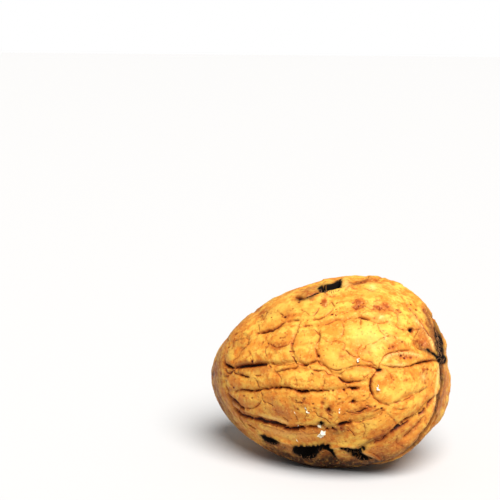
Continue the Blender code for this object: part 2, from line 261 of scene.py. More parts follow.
# Lines of the near face, as points in the picture, by how strongly they are cut
WIDE_CRACKS = {
    "lower furrow": [[(258, 416.4), (264, 418), (270, 419.4), (276, 421.2), (282, 423.2), (287, 424.8)]],
    "low left loop": [[(222, 392.4), (229, 396), (235, 399.4), (239, 402.6), (243, 406.4)]],
    "middle crack": [[(237, 368.2), (244, 366.8), (252, 366), (262, 365.2), (269, 365)]],
    "low right furrow": [[(405, 419), (399, 423), (396, 425.5), (393, 428), (389, 431.6)]],
    "lower dashes": [[(338, 423.6), (342, 422.8), (346, 422.4), (350.5, 421.4)]],
}
OPEN_CRACKS = {
    "lower furrow": [
        [(220, 401), (224, 403.4), (228, 405), (236, 408.6), (244, 411.8), (252, 414.4), (258, 416.4)],
        [(287, 424.8), (293, 426.2), (300, 426.2), (307, 425.3)], [(326, 427.6), (328.5, 426.8)],
        [(332, 427.6), (334.8, 426.8)]],
    "middle crack": [
        [(221.5, 361), (225, 363.5), (229, 365.5), (233, 367.5), (235, 369.5)],
        [(235, 369.5), (237, 368.2)]],
    "low left loop": [[(243, 406), (247, 407.4)]],
    "second furrow": [[(297, 390.4), (303, 391.4), (310, 390.5)]],
    "seam at the top": [
        [(423, 304), (426, 308), (429, 312), (431, 317), (432.5, 322), (434, 327), (434.5, 332)]],
    "beside the seam": [[(434, 414), (433, 418), (431, 422), (429, 425), (426, 430)]],
    "top cut": [[(297, 299), (304, 301), (310, 299), (315, 296), (320, 294.5)]],
    "low right furrow": [[(423, 406.5), (419, 410), (415, 412.8)]],
}
CRACKS = {
    "upper left": [
        [(258, 334.5), (264, 333.5), (268, 331.5), (274, 331), (278, 329), (283, 325), (286, 322.5)]],
    "top": [
        [(358, 318.2), (364, 319.5), (370, 321)],
        [(349, 287), (352, 285), (356, 284), (360, 282), (364, 281), (368, 279.5)]],
    "upper right": [
        [(413, 316), (416, 318.5)], [(422.5, 310), (424, 313), (425, 315)],
        [(419, 321), (422, 326), (424, 331), (427, 336), (429, 339)]],
    "middle left": [
        [(235, 370), (232, 372), (230, 374), (227.5, 371), (226, 368.5)],
        [(235, 371), (237, 373.5), (240, 374.8), (245, 375.5), (248, 377), (251, 376.8)],
        [(275, 387.5), (281, 387.3), (290, 388), (297, 390.3)],
        [(241, 390), (245, 389.5), (249, 390), (252, 391), (260, 390.5), (264, 389.5), (268, 389),
         (275, 387.5)]],
    "middle": [
        [(292.5, 356), (294, 358), (295, 360.5), (297, 363), (300, 364.5), (303, 365), (307, 365.5),
         (309, 364.5)],
        [(338.5, 376), (339.5, 378), (341, 380.5), (344, 382.2), (347, 383), (350, 382.5), (354, 381.5)],
        [(347, 388), (350, 387), (355, 388.5), (360, 387.5)],
        [(310, 390.5), (314, 390), (318, 391), (323, 390)]],
    "middle right": [
        [(409, 366.3), (411, 365.5), (415, 364), (418, 362.5), (421, 362), (428, 361.3), (436, 361)],
        [(374, 374), (371.5, 378), (370, 381), (370, 386), (371, 391), (372.5, 395)]],
    "lower middle": [
        [(308, 425.5), (313, 426), (318, 426)], [(349, 421), (351, 419.7)],
        [(356, 411.3), (360, 411), (364, 409.5), (368, 408)], [(296, 402.5), (303, 402.5)],
        [(322, 442), (327, 443), (331, 444)]],
    "lower right": [
        [(393, 428.5), (390, 431), (387, 433), (384, 436), (380, 438.5), (376, 440), (373, 441)],
        [(415, 412.8), (410, 416), (406, 418), (402, 420.5), (399, 423)],
        [(433, 396), (430, 400), (426, 404), (423, 406.5)],
        [(413, 430), (410, 432), (407, 435), (404, 437.5)],
        [(430, 422), (427, 426), (424, 430), (420, 433), (419, 436)], [(436, 405), (435.5, 410)]],
    "lower left": [
        [(249, 424), (252, 426), (257, 428.5)], [(234, 417), (238, 420), (243, 424), (248, 427.5)]],
}
FINE_LINES = {
    "upper left": [
        [(260, 313), (264, 311)], [(262, 319), (263, 317)], [(277, 311), (281, 314), (284, 316)],
        [(281, 320), (283, 323), (286, 322.5)], [(259, 325), (258.5, 332), (258, 337)],
        [(280, 339), (284, 337), (287, 335)], [(238, 333), (233, 336)],
        [(286, 322.5), (292, 321.5), (300, 321)]],
    "top": [
        [(368, 282.5), (374, 281.5), (384, 281.5)], [(350, 289), (357, 289.5)],
        [(364, 288.5), (370, 290.5), (375, 291.5)],
        [(351, 306), (355, 308), (361, 308), (364, 306), (366, 303.5)],
        [(331, 302), (334, 305), (334, 308)], [(312, 321), (316, 320), (320, 319.5), (325, 317.5)],
        [(317, 327), (320, 325.5)], [(324, 325), (328, 324), (331, 322.5), (336, 320.5), (341, 320)],
        [(300, 321), (301, 323), (299, 326), (298.5, 329), (297, 333), (295, 337), (292, 341), (291.5, 348),
         (292.5, 356)], [(312, 330), (316, 331), (318.5, 334), (320, 338), (318, 342), (316.5, 346)],
        [(347, 320.5), (350, 319), (355, 318), (358, 318.2)], [(370, 321), (372, 321.5), (377, 323)],
        [(352, 320.5), (356, 322.5)], [(360, 319), (360.5, 325)], [(341, 320), (347, 320.5)],
        [(343, 321), (345, 323)], [(311, 317), (315, 315), (318, 310), (319, 308)],
        [(304, 326.5), (310, 326)]],
    "upper right": [
        [(407, 304), (408, 308), (410, 310), (413, 316)], [(421, 319), (423, 322.5)],
        [(396, 326), (400, 329), (407, 330)], [(414, 330), (420, 329.5)], [(425, 319), (427, 326)],
        [(385, 337), (391, 336), (393, 337)], [(394, 336), (396, 339)], [(385, 322.5), (388, 321.5)],
        [(377, 323), (385, 322.5)]],
    "middle left": [
        [(268, 361), (269, 364), (271, 367), (274, 370), (277, 373)],
        [(272, 363), (276, 364.5), (279, 365.5), (285, 365), (292, 364), (297, 363)],
        [(276, 375), (278, 372), (281, 370.5), (285, 370), (290, 369), (296, 367.5)],
        [(222, 376.8), (229, 376)], [(256, 375.5), (262, 375)],
        [(231, 345), (234, 342), (238, 340), (241, 339.5), (243, 338), (246, 337.5), (248.5, 339),
         (248.5, 342), (247.5, 345), (245, 348), (242, 350), (240.5, 353), (239, 356), (237, 358.5),
         (234.5, 360), (233, 363)], [(270, 344), (274, 346.5), (278, 348), (283, 347), (288, 345)],
        [(262, 343.5), (264, 342)], [(254, 377), (256, 380), (258, 384), (260, 387.5), (262, 390)],
        [(219, 385), (221, 389), (225, 391), (229, 392.5)], [(236, 391), (241, 390)],
        [(262, 390), (262, 395), (262.5, 399), (265, 402), (270, 404), (274, 406)],
        [(247, 407.8), (250, 408.5), (254, 408), (257, 406.5), (260, 403.5), (262, 400)]],
    "middle": [
        [(292, 369), (296, 368), (299, 366)], [(309, 366), (310.5, 369)],
        [(309, 364.5), (313, 362.5), (317, 361)],
        [(316.5, 346), (316.5, 351), (317.5, 356), (317.5, 360), (319, 363), (321, 365), (324, 365.5),
         (326, 366.5)],
        [(313, 371), (318, 371), (322, 370.5), (325, 371), (327.5, 374), (331, 375), (335, 375.7),
         (338.5, 376)], [(354, 381.5), (358, 380.8), (362, 380.7)],
        [(326, 367), (330, 369), (336, 370), (341, 370), (346, 368.5), (350, 367), (355, 366)],
        [(338, 375.5), (341, 374), (345, 372), (349, 370), (353, 369)], [(311, 373), (314, 374.5)],
        [(345, 350.5), (349, 353.5), (353, 356.5), (357, 358)],
        [(362, 359), (366, 361), (371, 362), (373, 364), (376, 366), (377, 367.5)],
        [(357, 365.5), (361, 366), (366, 366.3), (371, 367), (375, 368), (377, 370), (380, 370)],
        [(323, 389), (325, 390), (328, 391), (330, 392)], [(341, 391), (343, 390), (345, 392)],
        [(366, 345), (365, 348), (362, 351)]],
    "middle right": [
        [(378, 371), (374, 374)],
        [(372.5, 395), (374.5, 398.5), (378, 401), (381, 403.3), (386, 404.8), (391, 407)],
        [(394, 403), (399, 401), (404, 400.5), (408, 399), (412, 396.5), (416, 394), (420, 392), (424, 390),
         (427, 388.5)],
        [(382, 365), (385, 366.5), (390, 367.3), (396, 367.5), (402, 367.7), (406, 367), (409, 366.3)],
        [(380, 362), (381, 360), (384, 356), (388, 354), (393, 352.3), (400, 351.4), (408, 351.2)],
        [(416, 341), (418, 345), (421, 348), (425, 349.5)], [(380, 362), (379.5, 366), (379, 369)],
        [(376, 370.5), (379, 370), (382, 369)]],
    "lower middle": [
        [(296, 399), (297, 403)], [(302, 399), (303, 404)], [(294, 405), (294.5, 408)],
        [(348, 403.5), (353, 402), (359, 402.5)], [(337, 404.5), (341, 402.5), (345, 401)],
        [(325, 410), (327, 413), (330, 415), (332, 417)],
        [(313, 411), (316, 413), (318, 416), (322, 417.5), (325, 419), (328, 421), (332, 423)],
        [(296, 415), (297, 418), (298, 421)],
        [(354, 422), (358, 422.5), (362, 421.5), (366, 420), (370, 419.5), (374, 418), (378, 417),
         (381, 414.5), (383, 411.5), (382.5, 409)],
        [(346, 411), (350, 412), (354, 413), (358, 413), (364, 411.5)], [(368, 408), (372, 407)],
        [(346, 426), (349, 429), (352, 432), (355, 436)], [(308, 410.5), (310, 412)]],
    "lower right": [
        [(373, 411), (377, 410), (379, 409)], [(366, 407), (370, 406.5)],
        [(398, 437), (396, 440), (397, 443), (400, 444.5), (403, 446), (404.5, 448.5)],
        [(426, 434), (424, 437), (421, 441), (419, 445)], [(443.6, 368), (444.4, 378), (443.6, 388)],
        [(368, 451), (375, 454), (382, 457), (388, 457)], [(425, 416), (421, 420), (417, 424), (413, 430)]],
    "lower left": [[(246, 428), (251, 432)], [(283, 417), (288, 420.5)], [(266, 415.5), (269, 417)]],
}
FAINT_LINES = {
    "top": [
        [(322, 295), (330, 297), (340, 296)], [(364, 306), (372, 309), (380, 309)],
        [(300, 309), (306, 312), (311, 317)], [(341, 320), (344, 330), (341, 338)],
        [(377, 323), (380, 330), (385, 337)], [(325, 317.5), (331, 311), (334, 308)],
        [(388, 309), (396, 313), (398, 320), (396, 326)]],
    "middle": [
        [(320, 338), (328, 342), (338, 341), (345, 344), (345, 350.5)],
        [(366, 345), (374, 343), (380, 339), (385, 337)], [(295, 376), (297, 383), (296, 389)],
        [(322, 373), (324, 380), (322, 389)], [(277, 373), (281, 380), (281, 387)],
        [(345, 384), (347, 388)], [(362, 380.7), (366, 376), (373, 372)],
        [(357, 358), (358, 350), (362, 345)], [(302, 345), (308, 343), (316, 345)],
        [(270, 344), (265, 350), (267, 358), (268, 361)], [(248, 350), (252, 356), (253, 361)],
        [(288, 345), (290, 340), (292, 338)]],
    "middle right": [
        [(403, 370), (405, 372), (403, 376)], [(410, 372), (413, 377), (415, 381)],
        [(388, 372), (393, 378), (391, 385)], [(427, 372), (425, 380), (427, 388)],
        [(396, 339), (403, 343), (408, 351)], [(420, 329.5), (417, 335), (416, 341)]],
    "lower": [
        [(274, 406), (277, 413), (283, 417)], [(303, 404), (306, 412), (305, 420), (307, 425)],
        [(332, 423), (338, 418), (346, 413)], [(383, 411.5), (390, 416), (396, 424)],
        [(345, 401), (350, 396), (355, 390)], [(359, 402.5), (366, 400), (371, 393)],
        [(362, 421.5), (365, 429), (363, 438)], [(299, 430), (308, 434), (318, 433)],
        [(262, 424), (272, 428), (284, 431)], [(228, 410), (236, 416), (244, 420)],
        [(391, 407), (400, 410), (408, 408)],
        [(441, 400), (440, 408), (438, 415), (435, 422), (432, 428), (428, 434)]],
}
LINE_KINDS = (
    (0.3, 0.4, 1.0, WIDE_CRACKS),
    (0.22, 0.55, 1.0, OPEN_CRACKS),
    (0.12, 0.3, 0.85, CRACKS),
    (0.085, 0.13, 0.52, FINE_LINES),
    (0.075, 0.07, 0.4, FAINT_LINES),
)

# Dark spots: point in the picture, half width in pixels and darkness
SPOTS = (
    (285, 317, 1.3, 0.9), (292, 300, 0.9, 0.5), (293, 309, 0.9, 0.5), (337, 303, 1.1, 0.6),
    (332, 314.5, 1.3, 0.85), (336, 314.5, 1.0, 0.6), (336, 309.5, 0.9, 0.5), (411, 304.5, 1.0, 0.6),
    (416, 310, 1.2, 0.7), (252.5, 361.5, 1.5, 0.95), (229, 347.5, 1.1, 0.6), (247.5, 344.5, 0.9, 0.6),
    (292.5, 343.5, 1.1, 0.7), (280, 338, 0.9, 0.5), (233.5, 387.5, 1.2, 0.7), (290.5, 351.5, 1.1, 0.6),
    (294, 351.5, 0.9, 0.6), (318.5, 356, 1.5, 0.8), (358, 362, 1.1, 0.8), (352.5, 388.6, 1.5, 1.0),
    (355, 388.2, 1.5, 1.0), (344, 390, 1.1, 0.8), (333, 390.5, 1.1, 0.6), (402, 355.5, 1.3, 0.8),
    (405.5, 358, 1.2, 0.8), (412, 357.5, 1.1, 0.6), (393, 347, 1.1, 0.6), (389, 348.5, 1.0, 0.6),
    (402, 342, 0.9, 0.6), (427.5, 369.5, 1.1, 0.6), (353, 402, 1.8, 0.95), (322.5, 403, 2.2, 0.5),
    (276, 427, 1.0, 0.6), (283.5, 428.5, 1.0, 0.6), (375, 406.5, 1.1, 0.6), (381.5, 408.5, 1.3, 0.8),
    (314, 408.5, 0.9, 0.5), (377.5, 370.2, 1.7, 0.95), (439, 360, 2.2, 1.0), (410.5, 330, 2.4, 1.0),
    (328.4, 410.3, 2.5, 0.75), (281, 387.5, 1.3, 0.9), (321, 303.5, 0.9, 0.7), (325.5, 305.5, 0.8, 0.6),
    (353, 303, 1.0, 0.6), (358.5, 305.5, 0.9, 0.7), (363.5, 303.5, 0.9, 0.6), (374, 306, 0.8, 0.6),
    (380, 308.5, 1.0, 0.7), (388, 307, 0.8, 0.6), (397, 310, 0.9, 0.7), (400.5, 312.5, 0.8, 0.6),
    (262, 316, 0.9, 0.7), (267, 313.5, 0.8, 0.6), (272, 318, 0.8, 0.6), (258, 322, 0.8, 0.5),
    (299, 303, 1.0, 0.7), (306, 300, 0.9, 0.6), (268, 343.5, 0.9, 0.6), (285, 333, 0.8, 0.5),
    (421, 340, 0.9, 0.6), (425, 344, 1.0, 0.7), (298, 409, 1.0, 0.7), (304, 399, 0.9, 0.7),
    (313, 404, 0.8, 0.6), (339, 399, 0.9, 0.6), (364, 396, 0.8, 0.5), (394, 380, 0.8, 0.5),
    (244, 396, 0.9, 0.6), (252, 398, 0.8, 0.6), (226, 381, 0.9, 0.6), (300, 434, 0.8, 0.5),
    (348, 431, 0.9, 0.6), (336, 430, 1.0, 0.8), (341, 428.5, 1.0, 0.8),
)

# Stains, painted shade and painted highlights of the near face, laid out in the picture: half width in
# pixels and strength, then points
RUST_STAINS = {
    "pits at the top": (5.0, 1.0, [(321, 303), (328, 303)]),
    "second pits": (5.5, 1.1, [(353, 304), (365, 305)]),
    "third pits": (5.0, 1.1, [(373, 307), (391, 307)]),
    "last pits": (3.0, 0.7, [(397, 311), (401, 311)]),
    "top groove": (2.2, 0.9, [(344, 288), (349, 287), (356, 284), (368, 280), (380, 279)]),
    "lens floor": (4.5, 0.85, [(390, 357), (404, 355.5), (421, 357)]),
    "over the lens": (5.5, 0.6, [(387, 347), (401, 344)]),
    "red hollow": (5.0, 0.7, [(418, 338), (424, 342), (429, 347)]),
    "left arc": (5.0, 0.7, [(267, 344), (278, 346), (288, 342)]),
    "left loop": (4.5, 0.6, [(237, 348), (243, 342), (246, 340)]),
    "orange patch": (3.5, 0.6, [(338, 357), (346, 357)]),
    "round cell": (4.5, 0.55, [(383, 378), (393, 378)]),
    "round cell low": (3.5, 0.55, [(402, 380), (408, 380)]),
    "beside the stem": (5.0, 0.7, [(418, 369), (429, 370)]),
    "ladder": (5.5, 0.6, [(290, 399), (299, 405), (307, 399)]),
    "under the furrow": (6.0, 0.5, [(318, 412), (334, 412)]),
    "upper left pits": (5.0, 0.7, [(258, 317), (266, 313), (273, 310)]),
    "second upper left pits": (5.0, 0.6, [(283, 318), (294, 309)]),
    "low dashes": (5.0, 0.7, [(348, 411), (360, 410), (374, 408)]),
    "tip": (9.0, 0.6, [(213, 371), (224, 374)]),
    "upper tip": (6.0, 0.5, [(229, 352), (239, 337)]),
    "low right": (6.0, 0.7, [(372, 441), (384, 436), (394, 428)]),
    "top corner": (6.0, 0.7, [(296, 296), (308, 292), (318, 292)]),
    "low right corner": (6.0, 0.6, [(376, 451), (392, 448), (404, 442)]),
    "floor of the hollow": (5.0, 0.8, [(322, 456), (331, 460)]),
}
# Dusty brown of the near face: a dusty veil low on the left, and painted shade where the shell turns from
# the light, on the valley, the keel flank, the far half, the left edge and the bottom band
DUST_AND_SHADE_STAINS = {
    "low left": (12.0, 0.6, [(222, 390), (238, 404), (252, 414)]),
    "below the furrow": (9.0, 0.45, [(262, 425), (288, 432), (318, 434), (346, 431)]),
    "left of the ladder": (8.0, 1.0, [(270, 398), (276, 410), (292, 416)]),
    "keel flank": (3.6, 1.3, [(424, 306), (428, 316), (431.5, 328), (433, 340), (434, 350)]),
    "valley": (4.5, 0.8, [(412, 314), (419, 325), (425, 337), (431, 349)]),
    "far half": (4.0, 1.1, [(443.5, 366), (445.5, 380), (443, 396), (438, 410), (432, 422)]),
    "left edge": (5.0, 0.8, [
        (262, 306), (240, 322), (224, 340), (215, 358), (213, 376), (217, 396), (226, 414), (240, 432)]),
    "below the middle crack": (4.0, 0.7, [(252, 370), (262, 370), (272, 369)]),
    "bottom band": (8.0, 0.9, [
        (240, 436), (268, 451), (300, 459), (340, 462), (376, 457), (404, 447), (422, 434)]),
    "far lip": (3.0, 0.7, [(438, 322), (443, 334), (447, 346), (449, 356)]),
    "low right side": (6.0, 0.6, [(396, 440), (412, 430), (426, 414)]),
}
# Umber of the near face, mostly painted shade: under the lip, along the bottom and low edges, in the gap,
# the top cut and the seam, and beside the hollows and furrows. The tip spot, the oval and the dirt beside
# the crumbs are the shell's own dark marks
UMBER_AND_SHADE_STAINS = {
    "tip spot": (1.9, 1.7, [(210, 373.4), (214.5, 374.4)]),
    "oval": (2.6, 0.8, [(326.5, 409.4), (330, 413)]),
    "low right furrow": (2.6, 0.6, [(360, 446), (370, 441), (380, 438), (387, 434)]),
    "side of the tip": (6.0, 0.32, [(220, 350), (216, 372), (221, 392)]),
    "under the lip": (5.0, 1.3, [
        (262, 446), (278, 452), (296, 459), (316, 463), (338, 464), (358, 463), (374, 461)]),
    "between the hollows": (4.0, 0.75, [(278, 446), (292, 450)]),
    "low edge": (3.5, 0.7, [(380, 460), (396, 455), (412, 446), (424, 436)]),
    "low left edge": (5.0, 0.7, [(214, 384), (220, 404), (232, 424), (250, 442)]),
    "red hollow": (3.2, 0.5, [(418, 340), (423, 343.5), (428, 347)]),
    "keel flank": (3.2, 0.7, [(425, 308), (428.5, 318), (430.5, 328), (432, 338), (433.5, 348)]),
    "beside the crumbs": (5.0, 0.8, [(327, 429), (337, 431), (347, 428)]),
    "top groove": (1.6, 0.5, [(352, 285), (358, 282.5), (367, 279.5)]),
    "far half": (1.6, 0.5, [(444, 368), (444.5, 384), (441, 400), (436, 414)]),
    "in the gap": (2.6, 1.3, [(435, 332), (436.6, 340), (437, 348), (439, 356)]),
    "top cut": (2.4, 0.8, [(297, 298.6), (304, 300.4), (311, 298.6), (319, 294)]),
    "seam by the stem": (2.0, 0.9, [(441, 364), (441.5, 374), (440, 384)]),
    "side of the buttress": (2.0, 0.8, [(331, 450), (335, 456), (338, 461)]),
    "inside of the far lip": (1.4, 0.5, [(441, 324), (445, 334), (448, 344), (449, 356)]),
    "bottom": (6.0, 1.4, [
        (262, 452), (282, 459), (304, 464.5), (326, 467), (350, 466.5), (374, 463), (392, 458)]),
    "behind the corner": (2.2, 0.9, [(422, 346), (427, 350), (432, 354)]),
    "crumbled furrow": (2.2, 0.6, [(322, 424), (334, 427), (346, 424)]),
}
# Pale plates of the near face: partly the shell's paler cells, partly painted highlight where the light
# falls brightest on the top and middle plates
PALE_AND_HIGHLIGHT_STAINS = {
    "top": (7.0, 0.8, [(362, 291), (376, 288)]),
    "upper plate": (10.0, 1.2, [(348, 332), (372, 331), (392, 338)]),
    "middle plate": (8.0, 1.15, [(327, 346), (336, 364), (352, 370)]),
    "left plate": (7.0, 0.6, [(300, 334), (307, 346)]),
    "upper left plate": (7.0, 0.7, [(268, 322), (284, 309), (300, 305)]),
    "left cells": (5.0, 0.6, [(276, 340), (286, 336)]),
    "upper cells": (6.0, 0.6, [(306, 313), (322, 309), (340, 305)]),
    "low right plate": (7.0, 0.5, [(384, 395), (400, 390), (414, 384)]),
    "low plate": (6.0, 0.5, [(362, 425), (374, 420), (386, 418)]),
}
# Cream marks of the near face: painted highlights, painted light along lit lips, ridges and edges, and a
# band painted lighter low down
CREAM_AND_HIGHLIGHT_STAINS = {
    "small highlight": (2.2, 1.0, [(380, 316), (383, 318)]),
    "second highlight": (1.8, 0.9, [(384, 336), (387, 338)]),
    "top highlight": (2.5, 0.8, [(369, 287), (376, 287)]),
    "stem highlight": (3.0, 0.9, [(422, 378), (426, 376.5)]),
    "lens rim": (1.4, 0.8, [(384, 360), (390, 355), (398, 353.5), (410, 353.2), (422, 356)]),
    "lens lower rim": (1.4, 0.8, [(386, 364.5), (396, 365.5), (408, 364.3)]),
    "seam edge": (1.2, 1.0, [
        (437.4, 363), (439, 367), (438.6, 372), (437.8, 378), (436.8, 386), (436, 396), (434.5, 406)]),
    "keel line": (1.0, 1.4, [
        (414.8, 320.8), (420.6, 325.6), (425.4, 332.3), (429.2, 339), (432.1, 345.8), (434, 350)]),
    "lower band": (4.0, 0.3, [(262, 428), (285, 434), (308, 437)]),
    "furrow lip": (1.5, 0.7, [(258, 415.5), (270, 417.5), (280, 420.5), (288, 423.5)]),
    "middle crack lip": (1.4, 0.6, [(236, 365.5), (248, 364), (262, 362.5)]),
    "bottom lip": (1.1, 0.8, [
        (260, 434.8), (272, 438.4), (290, 444.2), (306, 446.4), (320, 444.8), (331, 448), (341, 447),
        (354, 447), (364, 452.6), (374, 457.4)]),
    "bridge": (3.0, 0.6, [(344, 283), (347, 289)]),
    "far edge": (1.0, 0.8, [(426, 303), (433, 312), (439, 322), (444, 334), (447, 345)]),
}
STAIN_AND_LIGHT_TABLES = {
    "rust": RUST_STAINS,
    "dust": DUST_AND_SHADE_STAINS,
    "pale": PALE_AND_HIGHLIGHT_STAINS,
    "cream": CREAM_AND_HIGHLIGHT_STAINS,
    "umber": UMBER_AND_SHADE_STAINS,
}

# White crumbs: point in the picture, then length and width in mm; and slivers between two points
CRUMBS = (
    (320.4, 426, 0.55, 0.38), (321, 434.6, 0.85, 0.65), (323, 432.2, 1.0, 0.8), (321.8, 433.6, 0.7, 0.55),
    (324.4, 433.2, 0.55, 0.45), (378, 389.5, 0.5, 0.38), (377.6, 386.4, 0.25, 0.2), (358, 360, 0.4, 0.32),
    (319.4, 424.8, 0.26, 0.22), (298.4, 425, 0.14, 0.12), (297.2, 439.6, 0.18, 0.16),
    (315.6, 438, 0.16, 0.13),
)
SLIVERS = (
    ((304, 407.5), (306.5, 410.2)), ((306.5, 410.2), (309.8, 413.3)), ((294.4, 411), (296, 414)),
    ((339, 408), (340, 413)),
)

# Threads that stand in the openings: count, scatter in pixels, length and half width in mm, lean in the
# picture in degrees, then the path that they stand on
THREADS = {
    "inside the gap": (22, 0.5, 0.9, 0.06, -86.0, [(435.2, 330), (436.8, 338), (437.8, 346), (438.4, 353)]),
    "across the gap": (5, 0.8, 0.5, 0.05, -50.0, [(435.6, 334), (437.6, 342), (438.6, 352), (440, 360)]),
    "by the stem": (26, 1.4, 0.5, 0.07, 60.0, [(438, 356), (441, 360), (442, 364), (441, 368)]),
    "down the seam": (22, 0.8, 1.3, 0.05, -96.0, [(441, 366), (441, 378), (439, 392), (436, 406)]),
    "low left hollow": (40, 0.8, 0.5, 0.1, 80.0, [
        (262, 438.6), (265.4, 441.8), (269, 443.8), (273.8, 445.2), (279, 445)]),
    "low middle hollow": (90, 0.9, 0.6, 0.1, 84.0, [
        (292.6, 452.4), (296.2, 455), (300, 456.8), (303.6, 459.2), (309.6, 460.2), (314.6, 458.6),
        (318, 455.2), (320.5, 452.4), (325, 450.8)]),
    "low right hollow": (60, 0.9, 0.5, 0.1, 100.0, [
        (345, 451), (349.4, 453.2), (351.4, 456), (355.3, 458.6), (361.3, 460.8), (367, 461.4)]),
    "light threads": (9, 1.4, 0.6, 0.06, 75.0, [(350, 452), (355, 452), (360, 453)]),
    "top hollow": (16, 0.8, 0.4, 0.08, 70.0, [(318, 289), (324, 293), (331, 292.5), (339, 291)]),
}
THREAD_SIZES = {"Thickness": 1.0}
THREAD_SIDES = 3
THREAD_SEED = 4
THREAD_CLOUDS = 700.0
THREAD_SPREAD = 18.0
THREAD_TAPER = 0.8
THREAD_POINTS = 6
THREAD_CURL = 0.55
THREAD_LIFT = 0.3
THREAD_LENGTHS = (0.5, 1.3)
THREAD_WIDTHS = (0.7, 1.3)
THREAD_ROUGHNESS = 0.9

# Roughness of the crumbs, which the crumb tree takes as its named inputs
CRUMB_SIZES = {
    "Rough Height": 1.3 * MM,
    "Rough Length": 0.36 * MM,
    "Crumb Size": 1.0,
}
CRUMB_SEED = 2
CRUMB_LEVEL = 2
CRUMB_CLOUDS = 2500.0
CRUMB_ROUGHNESS = 0.7
CRUMB_LIFT = 0.25
CRUMB_FLATNESS = 2 / 3
SLIVER_HALF_WIDTH = 0.1
SLIVER_HALF_HEIGHT = 0.07

# Fine relief of the shell, and the widths of the painted shade and painted highlight beside its lines, which
# the surface tree takes as its named inputs
SURFACE_SIZES = {
    "Lump Height": 0.19 * MM,
    "Lump Length": 2.0 * MM,
    "Streak Height": 0.09 * MM,
    "Streak Length": 5.0 * MM,
    "Streak Width": 0.8 * MM,
    "Grain Height": 0.07 * MM,
    "Grain Length": 0.5 * MM,
    "Lip Height": 0.3,
    "Lip Place": 2.4,
    "Crease Spread": 3.0,
    "Halo Width": 0.8 * MM,
    "Valley Depth": 0.2 * MM,
    "Rim Distance": 0.4 * MM,
    "Rim Width": 0.17 * MM,
}

# Light: the key comes from above the viewer's right shoulder
KEY_STRENGTH = 6.35
KEY_ANGLE = math.radians(40.0)
KEY_AZIMUTH = math.radians(42.0)
KEY_ELEVATION = math.radians(53.0)
FILL_STRENGTH = 0.3
TABLE_SIZE = 6.0
TABLE_ROUGHNESS = 0.9


def paint(red, green, blue):
    """Linear colour of a paint given on the usual scale of 0 to 255."""
    def linear(level):
        share = level / 255.0
        return share / 12.92 if share <= 0.04045 else ((share + 0.055) / 1.055) ** 2.4
    return (linear(red), linear(green), linear(blue), 1.0)


# Paints of the shell
PALE = paint(219, 171, 70)
OCHRE = paint(207, 131, 44)
TAN = paint(190, 102, 30)
RUST = paint(150, 64, 18)
# Dusty orange-brown, also laid as painted shade
DUST_AND_SHADE = paint(176, 104, 46)
UMBER = paint(60, 33, 15)
CREASE = paint(128, 54, 12)
CRACK = paint(44, 14, 6)
CREAM = paint(236, 193, 112)
# Black of the painted shadow inside the hollows
HOLLOW_SHADOW_BLACK = paint(12, 6, 3)
CRUMB = paint(236, 226, 200)
FIBRE = paint(132, 88, 50)
TABLE = paint(192, 191, 190)

# Clouds of the paint in a metre, and the ranges over which each turns one paint into the next
BLOTCHES = 330.0
MOTTLES = 1100.0
FRECKLES = 2300.0
FINE_GRAINS = 3000.0
FRECKLE_SHIFT = (0.1, 0.2, 0.3)
LUMP_SHARE = 1.2
PALE_PATCHES = (0.35, 0.65)
TAN_PATCHES = (0.5, 0.62, 0.0, 0.75)
STAIN_PATCHES = (0.3, 0.7, 0.45, 1.3)
CREAM_GRAINS = (0.42, 0.28, 0.0, 0.45)
RUST_FRECKLES = 0.1
FRECKLE_PATCHES = (0.61, 0.71, 0.0, 0.6)
CRACK_CORE = (0.45, 0.8)
CRACK_SIDE = (0.1, 0.55)
ROUGHNESS = (0.3, 0.7, 0.42, 0.65)
GLOSS = 0.14
DARKER = 0.7
COARSE_BUMP = (0.6, 0.12 * MM)
FINE_BUMP = (0.5, 0.05 * MM)

# Layers of paint over the ground: the mark that lays each, its strength and its paint; a layer with no
# strength is as uneven as the mottle. The tan halo beside each line and the rust in the furrows are painted
# shade, the pale rim beside each line is a painted highlight, the pale plates and the cream marks are partly
# painted highlight, and the dusty brown and the umber are partly painted shade
LAYERS = (
    ("pale", None, PALE),
    ("halo", 0.55, TAN),
    ("rim", 0.35, PALE),
    ("dust", None, DUST_AND_SHADE),
    ("rust", None, RUST),
    ("umber", None, UMBER),
    ("furrow", 0.5, RUST),
    ("cream", None, CREAM),
)
CREASE_SHADE_STRENGTH = 0.65
HOLLOW_SHADE_STRENGTH = 0.7
SEAM_STRENGTH = 0.9


